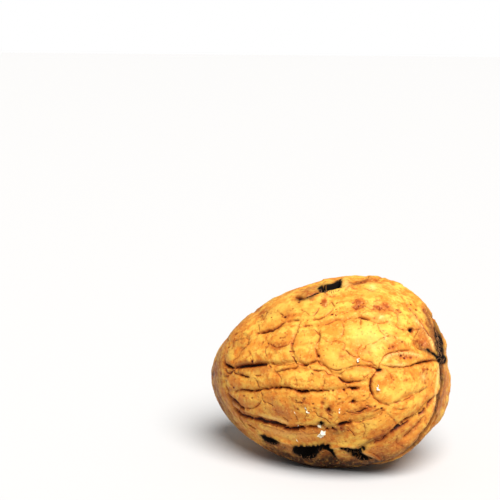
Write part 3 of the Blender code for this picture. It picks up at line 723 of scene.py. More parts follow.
class Wiring:
    """Adds nodes to one tree and joins them."""

    def __init__(self, tree):
        self.tree = tree

    def add(self, kind, inputs=None, **settings):
        made = self.tree.nodes.new(kind)
        for name, value in settings.items():
            setattr(made, name, value)
        for socket, value in (inputs or {}).items():
            self.feed(made.inputs[socket], value)
        return made

    def feed(self, socket, value):
        if isinstance(value, bpy.types.NodeSocket):
            self.tree.links.new(value, socket)
        else:
            socket.default_value = value

    def math(self, operation, first, second=0.0, third=0.0):
        inputs = {0: first, 1: second, 2: third}
        return self.add("ShaderNodeMath", inputs, operation=operation).outputs[0]

    def vector(self, operation, first, second=(0.0, 0.0, 0.0)):
        return self.add("ShaderNodeVectorMath", {0: first, 1: second}, operation=operation).outputs[0]

    def scaled(self, vector, factor):
        return self.add("ShaderNodeVectorMath", {0: vector, "Scale": factor}, operation="SCALE").outputs[0]

    def mix(self, share, first, second, blend="MIX"):
        made = self.add("ShaderNodeMix", data_type="RGBA", blend_type=blend)
        for socket, value in zip((0, 6, 7), (share, first, second)):
            self.feed(made.inputs[socket], value)
        return made.outputs[2]

    def spread(self, value, low, high, to_low=0.0, to_high=1.0):
        inputs = {"Value": value, "From Min": low, "From Max": high, "To Min": to_low, "To Max": to_high}
        return self.add("ShaderNodeMapRange", inputs).outputs["Result"]

    def noise(self, place, scale, detail=2.0, roughness=0.5):
        inputs = {"Vector": place, "Scale": scale, "Detail": detail, "Roughness": roughness}
        return self.add("ShaderNodeTexNoise", inputs).outputs[0]

    def bell(self, distance, half_width):
        """One at no distance, falling smoothly to nothing past the half width."""
        share = self.math("DIVIDE", distance, half_width)
        return self.math("EXPONENT", self.math("MULTIPLY", self.math("MULTIPLY", share, share), -1.0))

    def largest(self, first, *others):
        for other in others:
            first = self.math("MAXIMUM", first, other)
        return first


def form_terms(points):
    """Reach, bluntness and share of the girth of the smooth form beside each point or direction."""
    x, y, z = points.T
    reach = np.where(x > 0, STEM_REACH, TIP_REACH)
    bluntness = np.where(x > 0, STEM_BLUNTNESS, TIP_BLUNTNESS)
    return reach, bluntness, np.sqrt((y / HALF_WIDTH_IN_SEAM) ** 2 + (z / HALF_WIDTH_ACROSS) ** 2)


def base_radius(direction):
    """Distance from the nut's middle to its smooth form, along each unit direction."""
    reach, bluntness, girth = form_terms(direction)
    return (np.abs(direction[:, 0] / reach) ** bluntness + girth ** bluntness) ** (-1.0 / bluntness)


def lying_matrix():
    """Turn from the nut's own axes to the way it lies."""
    across = Vector((0.0, -math.cos(ROLL), math.sin(ROLL)))
    along = Vector((1.0, 0.0, 0.0))
    in_seam = across.cross(along)
    rolled = Matrix((along, in_seam, across)).transposed()
    return Matrix.Rotation(-TILT, 3, "Y") @ rolled


def eye_angles():
    """Heading and downward pitch of the camera that sees the nut's middle at its pixel."""
    aim = Vector((NUT_PIXEL[0] - FRAME_MIDDLE, FRAME_MIDDLE - NUT_PIXEL[1], FOCAL_PIXELS)).normalized()
    pitch = math.asin(math.sin(EYE_ELEVATION) / math.hypot(aim.y, aim.z)) + math.atan2(aim.y, aim.z)
    level = aim.z * math.cos(pitch) + aim.y * math.sin(pitch)
    return EYE_AZIMUTH + math.atan2(aim.x, level), pitch


def eye_frame():
    """Eye point and its right, up and forward directions, seen from the nut's middle."""
    back = Vector((math.sin(EYE_AZIMUTH) * math.cos(EYE_ELEVATION),
                   -math.cos(EYE_AZIMUTH) * math.cos(EYE_ELEVATION),
                   math.sin(EYE_ELEVATION)))
    heading, pitch = eye_angles()
    right = Vector((math.cos(heading), math.sin(heading), 0.0))
    forward = Vector((-math.sin(heading) * math.cos(pitch), math.cos(heading) * math.cos(pitch),
                      -math.sin(pitch)))
    return back * EYE_DISTANCE, right, right.cross(forward), forward


def seen_ray(pixel):
    """Start and direction of the line of sight through a pixel, from the nut's middle."""
    eye, right, up, forward = eye_frame()
    ray = forward * FOCAL_PIXELS + right * (pixel[0] - FRAME_MIDDLE) + up * (FRAME_MIDDLE - pixel[1])
    return eye, ray.normalized()


def seen_directions(pixels, sunk=0.0):
    """Directions from the nut's middle to the points of its furrowed form that pixels show."""
    to_nut = np.array(lying_matrix())
    rays = [seen_ray(pixel) for pixel in pixels]
    starts = np.array([start for start, _ in rays]) @ to_nut
    rays = np.array([ray for _, ray in rays]) @ to_nut
    nearest = -np.sum(starts * rays, axis=1)
    steps = nearest[:, None] - np.linspace(TIP_REACH, 0.0, RAY_STEPS)[None, :]
    points = starts[:, None, :] + steps[:, :, None] * rays[:, None, :]
    lengths = np.linalg.norm(points, axis=2)
    directions = points / lengths[:, :, None]
    reach = base_radius(directions.reshape(-1, 3)).reshape(lengths.shape)
    rows = np.arange(len(rays))
    lift = np.zeros(len(rays))
    for _ in range(RAY_ROUNDS):
        inside = lengths < reach + lift[:, None]
        index = np.where(inside.any(axis=1), inside.argmax(axis=1), RAY_STEPS - 1)
        chosen = directions[rows, index] * reach[rows, index][:, None]
        lift = broad_form(chosen) - MM * furrow_depth(chosen) - sunk
    return directions[rows, index]


def smooth_path(corners, step=STROKE_STEP):
    """Points a short step apart on a smooth curve through the corners."""
    corners = [Vector(corner) for corner in corners]
    padded = [corners[0] * 2 - corners[1]] + corners + [corners[-1] * 2 - corners[-2]]
    path = []
    for before, start, end, after in zip(padded, padded[1:], padded[2:], padded[3:]):
        count = max(2, round((end - start).length / step))
        for index in range(count):
            t = index / count
            path.append(0.5 * (2 * start + (end - before) * t
                               + (2 * before - 5 * start + 4 * end - after) * t ** 2
                               + (3 * start - before - 3 * end + after) * t ** 3))
    path.append(corners[-1])
    return np.array(path)


def lay_path(pixels, sunk=0.0):
    """Path on the smooth form under points in the picture."""
    directions = seen_directions(pixels, sunk)
    return smooth_path(directions * base_radius(directions)[:, None])


def lay_strokes(table):
    """Paths on the smooth form, with their half widths and heights, from a table of picture points."""
    return [(lay_path(pixels), half_width * MM, height) for half_width, height, pixels in table.values()]


def lay_furrows():
    """Paths of the furrows, each laid where its floor shows at its pixels."""
    furrows = []
    for half_width, depth, pixels in FURROWS.values():
        depth *= FURROW_SHARE
        path = lay_path(pixels, sunk=MM * depth * (1.0 + SHOULDER_SHARE))
        furrows.append((path, half_width * MM * FURROW_SHARE, depth))
    return furrows


def furrow_depth(points):
    """Depth of the furrows and their shoulders at each point, in mm."""
    shoulders = strongest(points, LAID["furrows"], spread=SHOULDER_SPREAD / FURROW_SHARE)
    return strongest(points, LAID["furrows"]) + SHOULDER_SHARE * shoulders


def stroke_profile(points, path, half_width):
    """One on a stroke's path, falling smoothly to nothing beside it and towards its ends."""
    weight = np.zeros(len(points))
    reach = STROKE_REACH * half_width
    near = np.all((points > path.min(axis=0) - reach) & (points < path.max(axis=0) + reach), axis=1)
    candidates = np.nonzero(near)[0]
    if len(candidates) == 0:
        return weight
    gaps = np.linalg.norm(points[candidates, None, :] - path[None, :, :], axis=2)
    nearest = gaps.argmin(axis=1)
    place = np.linspace(0.0, 1.0, len(path))[nearest]
    fullness = np.clip(np.sin(math.pi * place), 0.0, 1.0) ** END_ROUNDNESS
    taper = END_SHARE + (1.0 - END_SHARE) * fullness
    weight[candidates] = taper * np.exp(-(gaps.min(axis=1) / half_width) ** 2)
    return weight


def strongest(points, strokes, spread=1.0):
    """Largest height that any one stroke gives each point."""
    height = np.zeros(len(points))
    for path, half_width, peak in strokes:
        height = np.maximum(height, peak * stroke_profile(points, path, half_width * spread))
    return height


def from_seam(points):
    """Distance of each point from the seam, positive on the near half."""
    wander = SEAM_WANDER * np.array([noise.noise(Vector(point) / SEAM_WANDER_LENGTH) for point in points])
    return points[:, 2] - SEAM_OFFSET + wander


def gap_opening(points):
    """One where the seam gapes at the stem end, nothing further round."""
    gap_middle = np.array((STEM_REACH, GAP_HEIGHT, SEAM_OFFSET))
    return np.exp(-(np.linalg.norm(points - gap_middle, axis=1) / GAP_SPAN) ** 4)


def by_the_stem(points):
    return np.clip(points[:, 0] / STEM_REACH, 0.0, 1.0) ** 4


def lips(points, across):
    """Height of the keel's two lips, which are lower at the stem end."""
    rise = KEEL_RISE + (KEEL_RISE_AT_STEM - KEEL_RISE) * by_the_stem(points)
    return rise * np.exp(-(across / KEEL_HALF_WIDTH) ** 4)


def seam_depth(points, across):
    """Depth of the seam between the lips, with its gap at the stem end."""
    seam = SEAM_DEPTH * np.exp(-(across / SEAM_HALF_WIDTH) ** 2)
    gap = gap_opening(points) * GAP_DEPTH * np.exp(-(across / GAP_HALF_WIDTH) ** 2)
    return np.maximum(seam, gap)


def broad_form(points):
    """Height over the smooth form of the swellings, the keel's lips and the waves of the shell."""
    swollen = sum(peak * MM * stroke_profile(points, path, half_width)
                  for path, half_width, peak in LAID["swellings"])
    return swollen + lips(points, from_seam(points)) + waves(points)


def waves(points):
    return SWELL * np.array([noise.noise(Vector(point) / SWELL_LENGTH) for point in points])


def drift(place):
    """A smooth wandering vector, each part within about one."""
    return Vector([noise.noise(place + Vector(shift)) for shift in DRIFT_SHIFTS])


def facing(points):
    """One where the smooth form looks at the eye, nothing at its outline and less than that behind it."""
    reach, bluntness, girth = form_terms(points)
    x, y, z = points.T
    fullness = np.maximum(girth, LEAST_GIRTH) ** (bluntness - 2.0)
    slope = np.stack((np.sign(x) * np.abs(x / reach) ** (bluntness - 1.0) / reach,
                      fullness * y / HALF_WIDTH_IN_SEAM ** 2, fullness * z / HALF_WIDTH_ACROSS ** 2), axis=1)
    towards = np.array(lying_matrix().transposed() @ eye_frame()[0]) - points
    lengths = np.linalg.norm(slope, axis=1) * np.linalg.norm(towards, axis=1)
    return np.sum(slope * towards, axis=1) / lengths


def turned_away(points):
    """Zero where the traced face looks at the eye, one on the far side."""
    return np.clip((TRACED_LIMIT - facing(points)) / TRACED_FADE, 0.0, 1.0)


def net_share(points, across):
    """One where the net of cells runs: on the sides that aren't traced, and off the keel."""
    return turned_away(points) * (1.0 - np.exp(-(across / NET_KEEL_GAP) ** 4))


def net(points, share):
    """Furrow and crack of the net of rounded cells, which run longer along the nut than round it."""
    furrow = np.zeros(len(points))
    crack = np.zeros(len(points))
    for index in np.nonzero(share > 0)[0]:
        point = Vector(points[index])
        bent = point + NET_WARP * drift(point / NET_WARP_LENGTH)
        cell = Vector((bent.x / NET_LENGTH, bent.y / NET_WIDTH, bent.z / NET_WIDTH))
        distances, centres = noise.voronoi(cell)
        gap = (distances[1] ** 2 - distances[0] ** 2) / (centres[1] - centres[0]).length
        strength = share[index] * min(1.0, max(0.0, NET_STRENGTH + NET_PATCHES * noise.noise(cell)))
        furrow[index] = strength * math.exp(-(gap / NET_SPREAD) ** 2)
        crack[index] = strength * math.exp(-(gap / NET_LINE) ** 2)
    return furrow, crack


def picture_places(points):
    """Pixels at which the eye sees points of the furrowed form."""
    eye, right, up, forward = eye_frame()
    directions = points / np.linalg.norm(points, axis=1)[:, None]
    form = points + directions * (broad_form(points) - MM * furrow_depth(points))[:, None]
    seen = form @ np.array(lying_matrix()).T - np.array(eye)
    far = seen @ np.array(forward)
    across = FRAME_MIDDLE + FOCAL_PIXELS * (seen @ np.array(right)) / far
    down = FRAME_MIDDLE - FOCAL_PIXELS * (seen @ np.array(up)) / far
    return np.stack((across, down), axis=1)


def inside_outline(places, outline):
    """Distance of each place inside an outline in the picture, in pixels and negative outside it."""
    corners = np.array(outline, dtype=float)
    distance = np.full(len(places), -FRAME_PIXELS)
    near = np.all((places > corners.min(axis=0) - HOLLOW_MARGIN)
                  & (places < corners.max(axis=0) + HOLLOW_MARGIN), axis=1)
    spots = places[near]
    gap = np.full(len(spots), FRAME_PIXELS)
    inside = np.zeros(len(spots), dtype=bool)
    for start, end in zip(corners, np.roll(corners, -1, axis=0)):
        side = end - start
        share = np.clip((spots - start) @ side / (side @ side), 0.0, 1.0)
        gap = np.minimum(gap, np.linalg.norm(spots - start - share[:, None] * side, axis=1))
        crosses = (start[1] > spots[:, 1]) != (end[1] > spots[:, 1])
        slope = side[0] / side[1] if side[1] else 0.0
        inside ^= crosses & (spots[:, 0] < start[0] + (spots[:, 1] - start[1]) * slope)
    distance[near] = np.where(inside, gap, -gap)
    return distance


def hollows(points):
    """Depth of the hollows at each point in mm, and how far it lies inside a hollow in pixels."""
    places = picture_places(points)
    places[facing(points) < LAST_SEEN] = -FRAME_PIXELS
    depth = np.zeros(len(points))
    inside = np.full(len(points), -FRAME_PIXELS)
    for deepest, outline in HOLLOWS.values():
        within = inside_outline(places, outline)
        share = np.clip(within / min(HOLLOW_WALL, max(within.max(), LEAST_WALL)), 0.0, 1.0)
        depth = np.maximum(depth, deepest * share * share * (3.0 - 2.0 * share))
        inside = np.maximum(inside, within)
    return depth, inside


def laid_mark_strength(points, places, table):
    """Strength of a table's stains, painted shade and painted highlights, which fade out just behind the
    outline of the nut.
    """
    strokes = [(smooth_path(pixels, 1.0), half_width, strength)
               for half_width, strength, pixels in table.values()]
    fade = np.clip((facing(points) + UNSEEN_REACH) / UNSEEN_REACH, 0.0, 1.0)
    return fade * strongest(places, strokes)


def rags(points):
    """Uneven shift of the edge of the black painted shadow inside a hollow, in pixels, which only draws it
    in.
    """
    uneven = np.array([noise.noise(Vector(point)) for point in points / np.array(RAG_SIZE)])
    return RAGGEDNESS * np.minimum(uneven, 0.0)


def stains_and_painted_light(points):
    """Strength of every kind of stain, painted shade and painted highlight at each point."""
    places = picture_places(points)
    return {name: laid_mark_strength(points, places, table) for name, table in STAIN_AND_LIGHT_TABLES.items()}


def carve(points):
    """Height of the broad forms over the smooth one, and the marks that the paint follows."""
    cut = furrow_depth(points)
    hollow, inside = hollows(points)
    hollow = np.maximum(hollow, strongest(points, lay_strokes(DIMPLES)))
    raised = strongest(points, lay_strokes(RIDGES))
    across = from_seam(points)
    net_furrow, net_crack = net(points, net_share(points, across))
    netted = NET_DEPTH / MM * FURROW_SHARE * net_furrow
    heights = MM * (raised - np.maximum(cut, hollow) - netted)
    heights += broad_form(points) - seam_depth(points, across)
    shade = (across + SEAM_SHADE_SHIFT) / (SEAM_SHADE + GAP_HALF_WIDTH * gap_opening(points))
    return {
        "broad": heights,
        "net": net_crack,
        # Painted shadow: black inside each hollow, with a ragged edge
        "hollow": np.clip(0.5 + (inside + RAG_SHIFT + rags(points)) / SHADOW_BLACK_EDGE, 0.0, 1.0),
        # Painted shade: umber that darkens the shell inside each hollow and just round it
        "soot": np.exp(-(np.minimum(inside, 0.0) / HOLLOW_SHADE_REACH) ** 2),
        # The seam's dark line: partly its own dark joint, partly painted shade on the far wall of the gap,
        # strongest by the stem
        "seam": np.exp(-shade ** 4) * (SEAM_FAINTEST + (1.0 - SEAM_FAINTEST) * by_the_stem(points)),
        # Painted shade: the deeper a furrow, the more rust is laid in it
        "furrow": np.maximum(cut, netted),
        **stains_and_painted_light(points),
    }


def add_marks(mesh, marks):
    for name, values in marks.items():
        attribute = mesh.attributes.new(name, "FLOAT", "POINT")
        attribute.data.foreach_set("value", np.asarray(values, dtype=np.float32))


def line_mesh():
    """Edges along every traced line, on the smooth form, each point with its size and darkness."""
    vertices, edges = [], []
    marks = {"half_width": [], "depth": [], "tone": []}
    for half_width, depth, tone, regions in LINE_KINDS:
        for pixels in (line for lines in regions.values() for line in lines):
            path = lay_path(pixels, sunk=depth * MM)
            first = len(vertices)
            for index, point in enumerate(path):
                place = Vector(point)
                for length, reach in WANDERS:
                    place += reach * drift(Vector(point) / length)
                along = index / (len(path) - 1)
                fullness = LINE_END + (1.0 - LINE_END) * math.sin(math.pi * along) ** END_ROUNDNESS
                fullness *= 1.0 + DEPTH_CHANGE * noise.noise(Vector(point) / DEPTH_WAVE)
                width_share = LEAST_LINE_WIDTH + (1.0 - LEAST_LINE_WIDTH) * fullness
                tone_share = LEAST_LINE_TONE + (1.0 - LEAST_LINE_TONE) * fullness
                vertices.append(place)
                marks["half_width"].append(half_width * MM * width_share)
                marks["depth"].append(depth * MM * fullness)
                marks["tone"].append(tone * min(1.0, tone_share))
            edges += [(index, index + 1) for index in range(first, len(vertices) - 1)]
    mesh = bpy.data.meshes.new("lines")
    mesh.from_pydata(vertices, edges, [])
    add_marks(mesh, marks)
    return mesh


def spot_mesh():
    """A short edge at every dark spot, on the smooth form, with its size and darkness."""
    vertices, edges = [], []
    marks = {"half_width": [], "depth": [], "tone": []}
    for across, down, half_width, tone in SPOTS:
        depth = SPOT_DEPTH * half_width * PIXEL
        ends = [(across - SPOT_REACH, down), (across + SPOT_REACH, down)]
        directions = seen_directions(ends, sunk=depth)
        for point in directions * base_radius(directions)[:, None]:
            vertices.append(Vector(point))
            marks["half_width"].append(half_width * PIXEL)
            marks["depth"].append(depth)
            marks["tone"].append(tone)
        edges.append((len(vertices) - 2, len(vertices) - 1))
    mesh = bpy.data.meshes.new("spots")
    mesh.from_pydata(vertices, edges, [])
    add_marks(mesh, marks)
    return mesh


def start_tree(name, sizes, things=()):
    """A geometry tree with named inputs; returns it, its wiring, its inputs and their identifiers."""
    tree = bpy.data.node_groups.new(name, "GeometryNodeTree")
    face = tree.interface
    face.new_socket("Geometry", in_out="INPUT", socket_type="NodeSocketGeometry")
    face.new_socket("Geometry", in_out="OUTPUT", socket_type="NodeSocketGeometry")
    identifiers = {}
    for labels, kind in ((sizes, "NodeSocketFloat"), (things, "NodeSocketObject")):
        for label in labels:
            identifiers[label] = face.new_socket(label, in_out="INPUT", socket_type=kind).identifier
    wiring = Wiring(tree)
    return tree, wiring, wiring.add("NodeGroupInput").outputs, identifiers


def end_tree(wiring, geometry, material):
    """Finish a geometry tree: real geometry, with its material."""
    real = wiring.add("GeometryNodeRealizeInstances", {0: geometry}).outputs[0]
    painted = wiring.add("GeometryNodeSetMaterial", {0: real, "Material": material}).outputs[0]
    wiring.add("NodeGroupOutput", {0: painted})


def grown(name, mesh, tree, identifiers, values):
    """Plain mesh that a geometry tree makes of a mesh."""
    seed = bpy.data.objects.new(name, mesh)
    bpy.context.scene.collection.objects.link(seed)
    modifier = seed.modifiers.new(tree.name, "NODES")
    modifier.node_group = tree
    for label, value in values.items():
        modifier[identifiers[label]] = value
    bpy.context.view_layer.update()
    evaluated = seed.evaluated_get(bpy.context.evaluated_depsgraph_get())
    made = bpy.data.meshes.new_from_object(evaluated)
    seed.modifiers.remove(modifier)
    bpy.data.objects.remove(seed)
    made.name = name
    return made


def nearest_line(wiring, source, place):
    """Distance to the nearest line of an object, and that line's half width, depth and darkness."""
    lines = wiring.add("GeometryNodeObjectInfo", {"Object": source}).outputs["Geometry"]
    inputs = {0: lines, "Sample Position": place}
    distance = wiring.add("GeometryNodeProximity", inputs, target_element="EDGES").outputs["Distance"]
    index = wiring.add("GeometryNodeSampleNearest", {0: lines, 1: place}, domain="POINT").outputs[0]
    values = []
    for name in ("half_width", "depth", "tone"):
        value = wiring.add("GeometryNodeInputNamedAttribute", {"Name": name}).outputs[0]
        sampled = wiring.add("GeometryNodeSampleIndex", {0: lines, 1: value, 2: index})
        values.append(sampled.outputs[0])
    return distance, *values


def line_relief(wiring, given, place):
    """Height that the nearest line gives each point, and the marks that its paint follows."""
    gap, half_width, depth, tone = nearest_line(wiring, given["Lines"], place)
    core = wiring.bell(gap, half_width)
    # Painted shade beside each line: a brown crease close to it and a wider tan halo round it
    crease = wiring.bell(gap, wiring.math("MULTIPLY", half_width, given["Crease Spread"]))
    halo = wiring.math("MULTIPLY", wiring.bell(gap, given["Halo Width"]), tone)
    # Painted highlight: a pale rim along each line, on its lit lip
    rim = wiring.bell(wiring.math("SUBTRACT", gap, given["Rim Distance"]), given["Rim Width"])
    lip_gap = wiring.math("SUBTRACT", gap, wiring.math("MULTIPLY", half_width, given["Lip Place"]))
    lip = wiring.math("MULTIPLY", wiring.bell(lip_gap, half_width), given["Lip Height"])
    height = wiring.math("MULTIPLY", wiring.math("SUBTRACT", lip, core), depth)
    height = wiring.math("SUBTRACT", height, wiring.math("MULTIPLY", halo, given["Valley Depth"]))
    marks = {"crease": wiring.math("MULTIPLY", crease, tone), "halo": halo,
             "rim": wiring.math("MULTIPLY", rim, tone)}
    return height, wiring.math("MULTIPLY", core, tone), marks


def centred_noise(wiring, place, scale, detail=3.0):
    """Noise from minus a half to a half."""
    return wiring.math("SUBTRACT", wiring.noise(place, scale, detail), 0.5)


def fine_relief(wiring, given, place):
    """Lumps, streaks along the nut and grain of the surface."""
    lump = centred_noise(wiring, place, wiring.math("DIVIDE", 1.0, given["Lump Length"]))
    along = wiring.math("DIVIDE", 1.0, given["Streak Length"])
    round_nut = wiring.math("DIVIDE", 1.0, given["Streak Width"])
    stretch = wiring.add("ShaderNodeCombineXYZ", {0: along, 1: round_nut, 2: round_nut}).outputs[0]
    streak = centred_noise(wiring, wiring.vector("MULTIPLY", place, stretch), 1.0)
    grain = centred_noise(wiring, place, wiring.math("DIVIDE", 1.0, given["Grain Length"]), detail=2.0)
    return lump, streak, grain


def surface_tree(material):
    """Cut the lines and spots into the shell and give it its fine relief."""
    tree, wiring, given, identifiers = start_tree("shell_surface", SURFACE_SIZES, ("Lines", "Spots"))
    place = wiring.add("GeometryNodeInputPosition").outputs[0]
    broad, net_line = (wiring.add("GeometryNodeInputNamedAttribute", {"Name": name}).outputs[0]
                       for name in ("broad", "net"))
    line_height, line_tone, marks = line_relief(wiring, given, place)
    spot_gap, spot_width, spot_depth, spot_tone = nearest_line(wiring, given["Spots"], place)
    spot = wiring.bell(spot_gap, spot_width)
    lump, streak, grain = fine_relief(wiring, given, place)
    height = wiring.math("ADD", broad, line_height)
    height = wiring.math("SUBTRACT", height, wiring.math("MULTIPLY", spot, spot_depth))
    height = wiring.math("SUBTRACT", height, wiring.math("MULTIPLY", net_line, NET_LINE_DEPTH))
    for relief, size in ((lump, "Lump Height"), (streak, "Streak Height"), (grain, "Grain Height")):
        double = wiring.math("MULTIPLY", relief, 2.0)
        height = wiring.math("MULTIPLY_ADD", double, given[size], height)
    marks["crack"] = wiring.largest(line_tone, wiring.math("MULTIPLY", spot, spot_tone),
                                    wiring.math("MULTIPLY", net_line, NET_LINE_TONE))
    marks["lump"] = wiring.math("ADD", lump, streak)
    geometry = given["Geometry"]
    for name, value in marks.items():
        inputs = {"Geometry": geometry, "Name": name, "Value": value}
        geometry = wiring.add("GeometryNodeStoreNamedAttribute", inputs, domain="POINT").outputs[0]
    offset = wiring.scaled(wiring.vector("NORMALIZE", place), height)
    moved = wiring.add("GeometryNodeSetPosition", {0: geometry, "Offset": offset}).outputs[0]
    end_tree(wiring, moved, material)
    return tree, identifiers


def refine(shell, chosen):
    """Halve the edges whose both ends are chosen by the rule, and keep every face a triangle."""
    directions = np.array([vertex.co.normalized() for vertex in shell.verts])
    near = chosen(directions * base_radius(directions)[:, None])
    shell.verts.ensure_lookup_table()
    shell.verts.index_update()
    edges = [edge for edge in shell.edges if near[edge.verts[0].index] and near[edge.verts[1].index]]
    bmesh.ops.subdivide_edges(shell, edges=edges, cuts=1, use_grid_fill=True)
    bmesh.ops.triangulate(shell, faces=shell.faces[:])


def smooth_shell(lines, spots):
    """Closed mesh of the smooth form, finer where lines, spots, hollows, the seam and the net run."""
    tree = kdtree.KDTree(len(lines.vertices) + len(spots.vertices))
    for index, vertex in enumerate([*lines.vertices, *spots.vertices]):
        tree.insert(vertex.co, index)
    tree.balance()

    def beside_lines(points, reach):
        return np.array([tree.find(Vector(point))[2] for point in points]) < reach

    def first(points):
        across = from_seam(points)
        _, crack = net(points, net_share(points, across))
        return (beside_lines(points, LINE_REACHES[0]) | (np.abs(across) < LINE_REACHES[0])
                | (crack > NET_REACH) | (hollows(points)[1] > -HOLLOW_WALL))

    def second(points):
        return beside_lines(points, LINE_REACHES[1]) | (np.abs(hollows(points)[1]) < HOLLOW_EDGE)

    shell = bmesh.new()
    bmesh.ops.create_icosphere(shell, subdivisions=SPHERE_LEVEL, radius=1.0)
    refine(shell, first)
    refine(shell, second)
    for vertex in shell.verts:
        direction = np.array(vertex.co.normalized())[None, :]
        vertex.co = (direction * base_radius(direction))[0]
    mesh = bpy.data.meshes.new("walnut_shell")
    shell.to_mesh(mesh)
    shell.free()
    return mesh


def mesh_points(mesh):
    points = np.empty(len(mesh.vertices) * 3, dtype=np.float32)
    mesh.vertices.foreach_get("co", points)
    return points.reshape(-1, 3).astype(float)


def lay_down(mesh):
    """Turn a mesh from the nut's axes to the way the nut lies on its flat spot."""
    placed = mesh_points(mesh) @ np.array(lying_matrix()).T + np.array(NUT_MIDDLE)
    placed[:, 2] = np.maximum(placed[:, 2], 0.0)
    mesh.vertices.foreach_set("co", placed.astype(np.float32).ravel())
    mesh.update()


def new_paint(name):
    """A material, its wiring, its shader and the place on the object that its clouds follow."""
    material = bpy.data.materials.new(name)
    material.use_nodes = True
    wiring = Wiring(material.node_tree)
    place = wiring.add("ShaderNodeTexCoord").outputs["Object"]
    return material, wiring, material.node_tree.nodes["Principled BSDF"], place


def shell_colour(wiring, mark, place, mottle, fine):
    """Ground of the shell, its layers of stain, painted shade and painted highlight, then the painted shade
    beside its creases, its freckles, cracks and seam, and the black painted shadow in its hollows.
    """
    def laid(under, name, strength, over):
        return wiring.mix(wiring.math("MULTIPLY", mark(name), strength), under, over)

    # The ground is painted paler where the fine relief is raised, a painted light on the tops of the lumps
    raised = wiring.math("MULTIPLY_ADD", mark("lump"), LUMP_SHARE, wiring.noise(place, BLOTCHES, detail=3.0))
    colour = wiring.mix(wiring.spread(raised, *PALE_PATCHES), OCHRE, PALE)
    colour = wiring.mix(wiring.spread(mottle, *TAN_PATCHES), colour, TAN)
    uneven = wiring.spread(mottle, *STAIN_PATCHES)
    # Layers of stain, painted shade and painted highlight
    for name, strength, over in LAYERS:
        colour = laid(colour, name, uneven if strength is None else strength, over)
    colour = wiring.mix(wiring.spread(fine, *CREAM_GRAINS), colour, CREAM)
    # Painted shade: brown beside each line
    colour = laid(colour, "crease", CREASE_SHADE_STRENGTH, CREASE)
    freckle = wiring.noise(wiring.vector("ADD", place, FRECKLE_SHIFT), FRECKLES)
    freckle = wiring.math("MULTIPLY_ADD", mark("rust"), RUST_FRECKLES, freckle)
    colour = wiring.mix(wiring.spread(freckle, *FRECKLE_PATCHES), colour, CREASE)
    # Painted shade in umber round the hollows
    colour = laid(colour, "soot", HOLLOW_SHADE_STRENGTH, UMBER)
    cut = wiring.mix(wiring.spread(mark("crack"), *CRACK_CORE), CREASE, CRACK)
    colour = wiring.mix(wiring.spread(mark("crack"), *CRACK_SIDE), colour, cut)
    # Dark seam, partly painted shade in its gap
    colour = laid(colour, "seam", SEAM_STRENGTH, CRACK)
    # Painted shadow: the hollows are painted black
    return laid(colour, "hollow", 1.0, HOLLOW_SHADOW_BLACK)


def shell_paint():
    """Satin paint of the shell, which its marks colour and its grain roughens."""
    material, wiring, surface, place = new_paint("walnut_shell")

    def mark(name):
        return wiring.add("ShaderNodeAttribute", attribute_name=name).outputs["Fac"]

    mottle = wiring.noise(place, MOTTLES, detail=4.0, roughness=0.6)
    fine = wiring.noise(place, FINE_GRAINS, detail=3.0, roughness=0.6)
    wiring.feed(surface.inputs["Base Color"], shell_colour(wiring, mark, place, mottle, fine))
    wiring.feed(surface.inputs["Specular IOR Level"], GLOSS)
    rough = wiring.largest(wiring.spread(mottle, *ROUGHNESS), mark("soot"), mark("seam"))
    wiring.feed(surface.inputs["Roughness"], rough)
    inputs = {"Height": mottle, "Strength": COARSE_BUMP[0], "Distance": COARSE_BUMP[1]}
    coarse = wiring.add("ShaderNodeBump", inputs).outputs[0]
    inputs = {"Height": fine, "Strength": FINE_BUMP[0], "Distance": FINE_BUMP[1], "Normal": coarse}
    wiring.feed(surface.inputs["Normal"], wiring.add("ShaderNodeBump", inputs).outputs["Normal"])
    return material


def plain_paint(name, colour, roughness, clouds):
    """Uneven dull paint of crumbs and threads."""
    material, wiring, surface, place = new_paint(name)
    darker = tuple(DARKER * level for level in colour[:3]) + (1.0,)
    cloud = wiring.spread(wiring.noise(place, clouds, detail=3.0), *PALE_PATCHES)
    wiring.feed(surface.inputs["Base Color"], wiring.mix(cloud, darker, colour))
    wiring.feed(surface.inputs["Roughness"], roughness)
    return material


def finish_piece(name, mesh):
    """Put a finished mesh in the scene as a piece of the walnut."""
    piece = bpy.data.objects.new(name, mesh)
    bpy.context.scene.collection.objects.link(piece)
    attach(piece, "root")
    return piece


def make_shell():
    lines, spots = line_mesh(), spot_mesh()
    smooth = smooth_shell(lines, spots)
    add_marks(smooth, carve(mesh_points(smooth)))
    guides = {}
    for label, mesh in (("Lines", lines), ("Spots", spots)):
        guides[label] = bpy.data.objects.new(label, mesh)
        bpy.context.scene.collection.objects.link(guides[label])
    tree, identifiers = surface_tree(shell_paint())
    mesh = grown("walnut_shell", smooth, tree, identifiers, {**SURFACE_SIZES, **guides})
    for guide in guides.values():
        bpy.data.objects.remove(guide)
    lay_down(mesh)
    mesh.shade_smooth()
    shell = finish_piece("walnut_shell", mesh)
    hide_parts(NODE)
    return shell


def on_shell(surface, pixel):
    """Point of the finished shell that a pixel shows, and the way it faces."""
    start, ray = seen_ray(pixel)
    point, normal, _, _ = surface.ray_cast(NUT_MIDDLE + start, ray)
    return point, normal


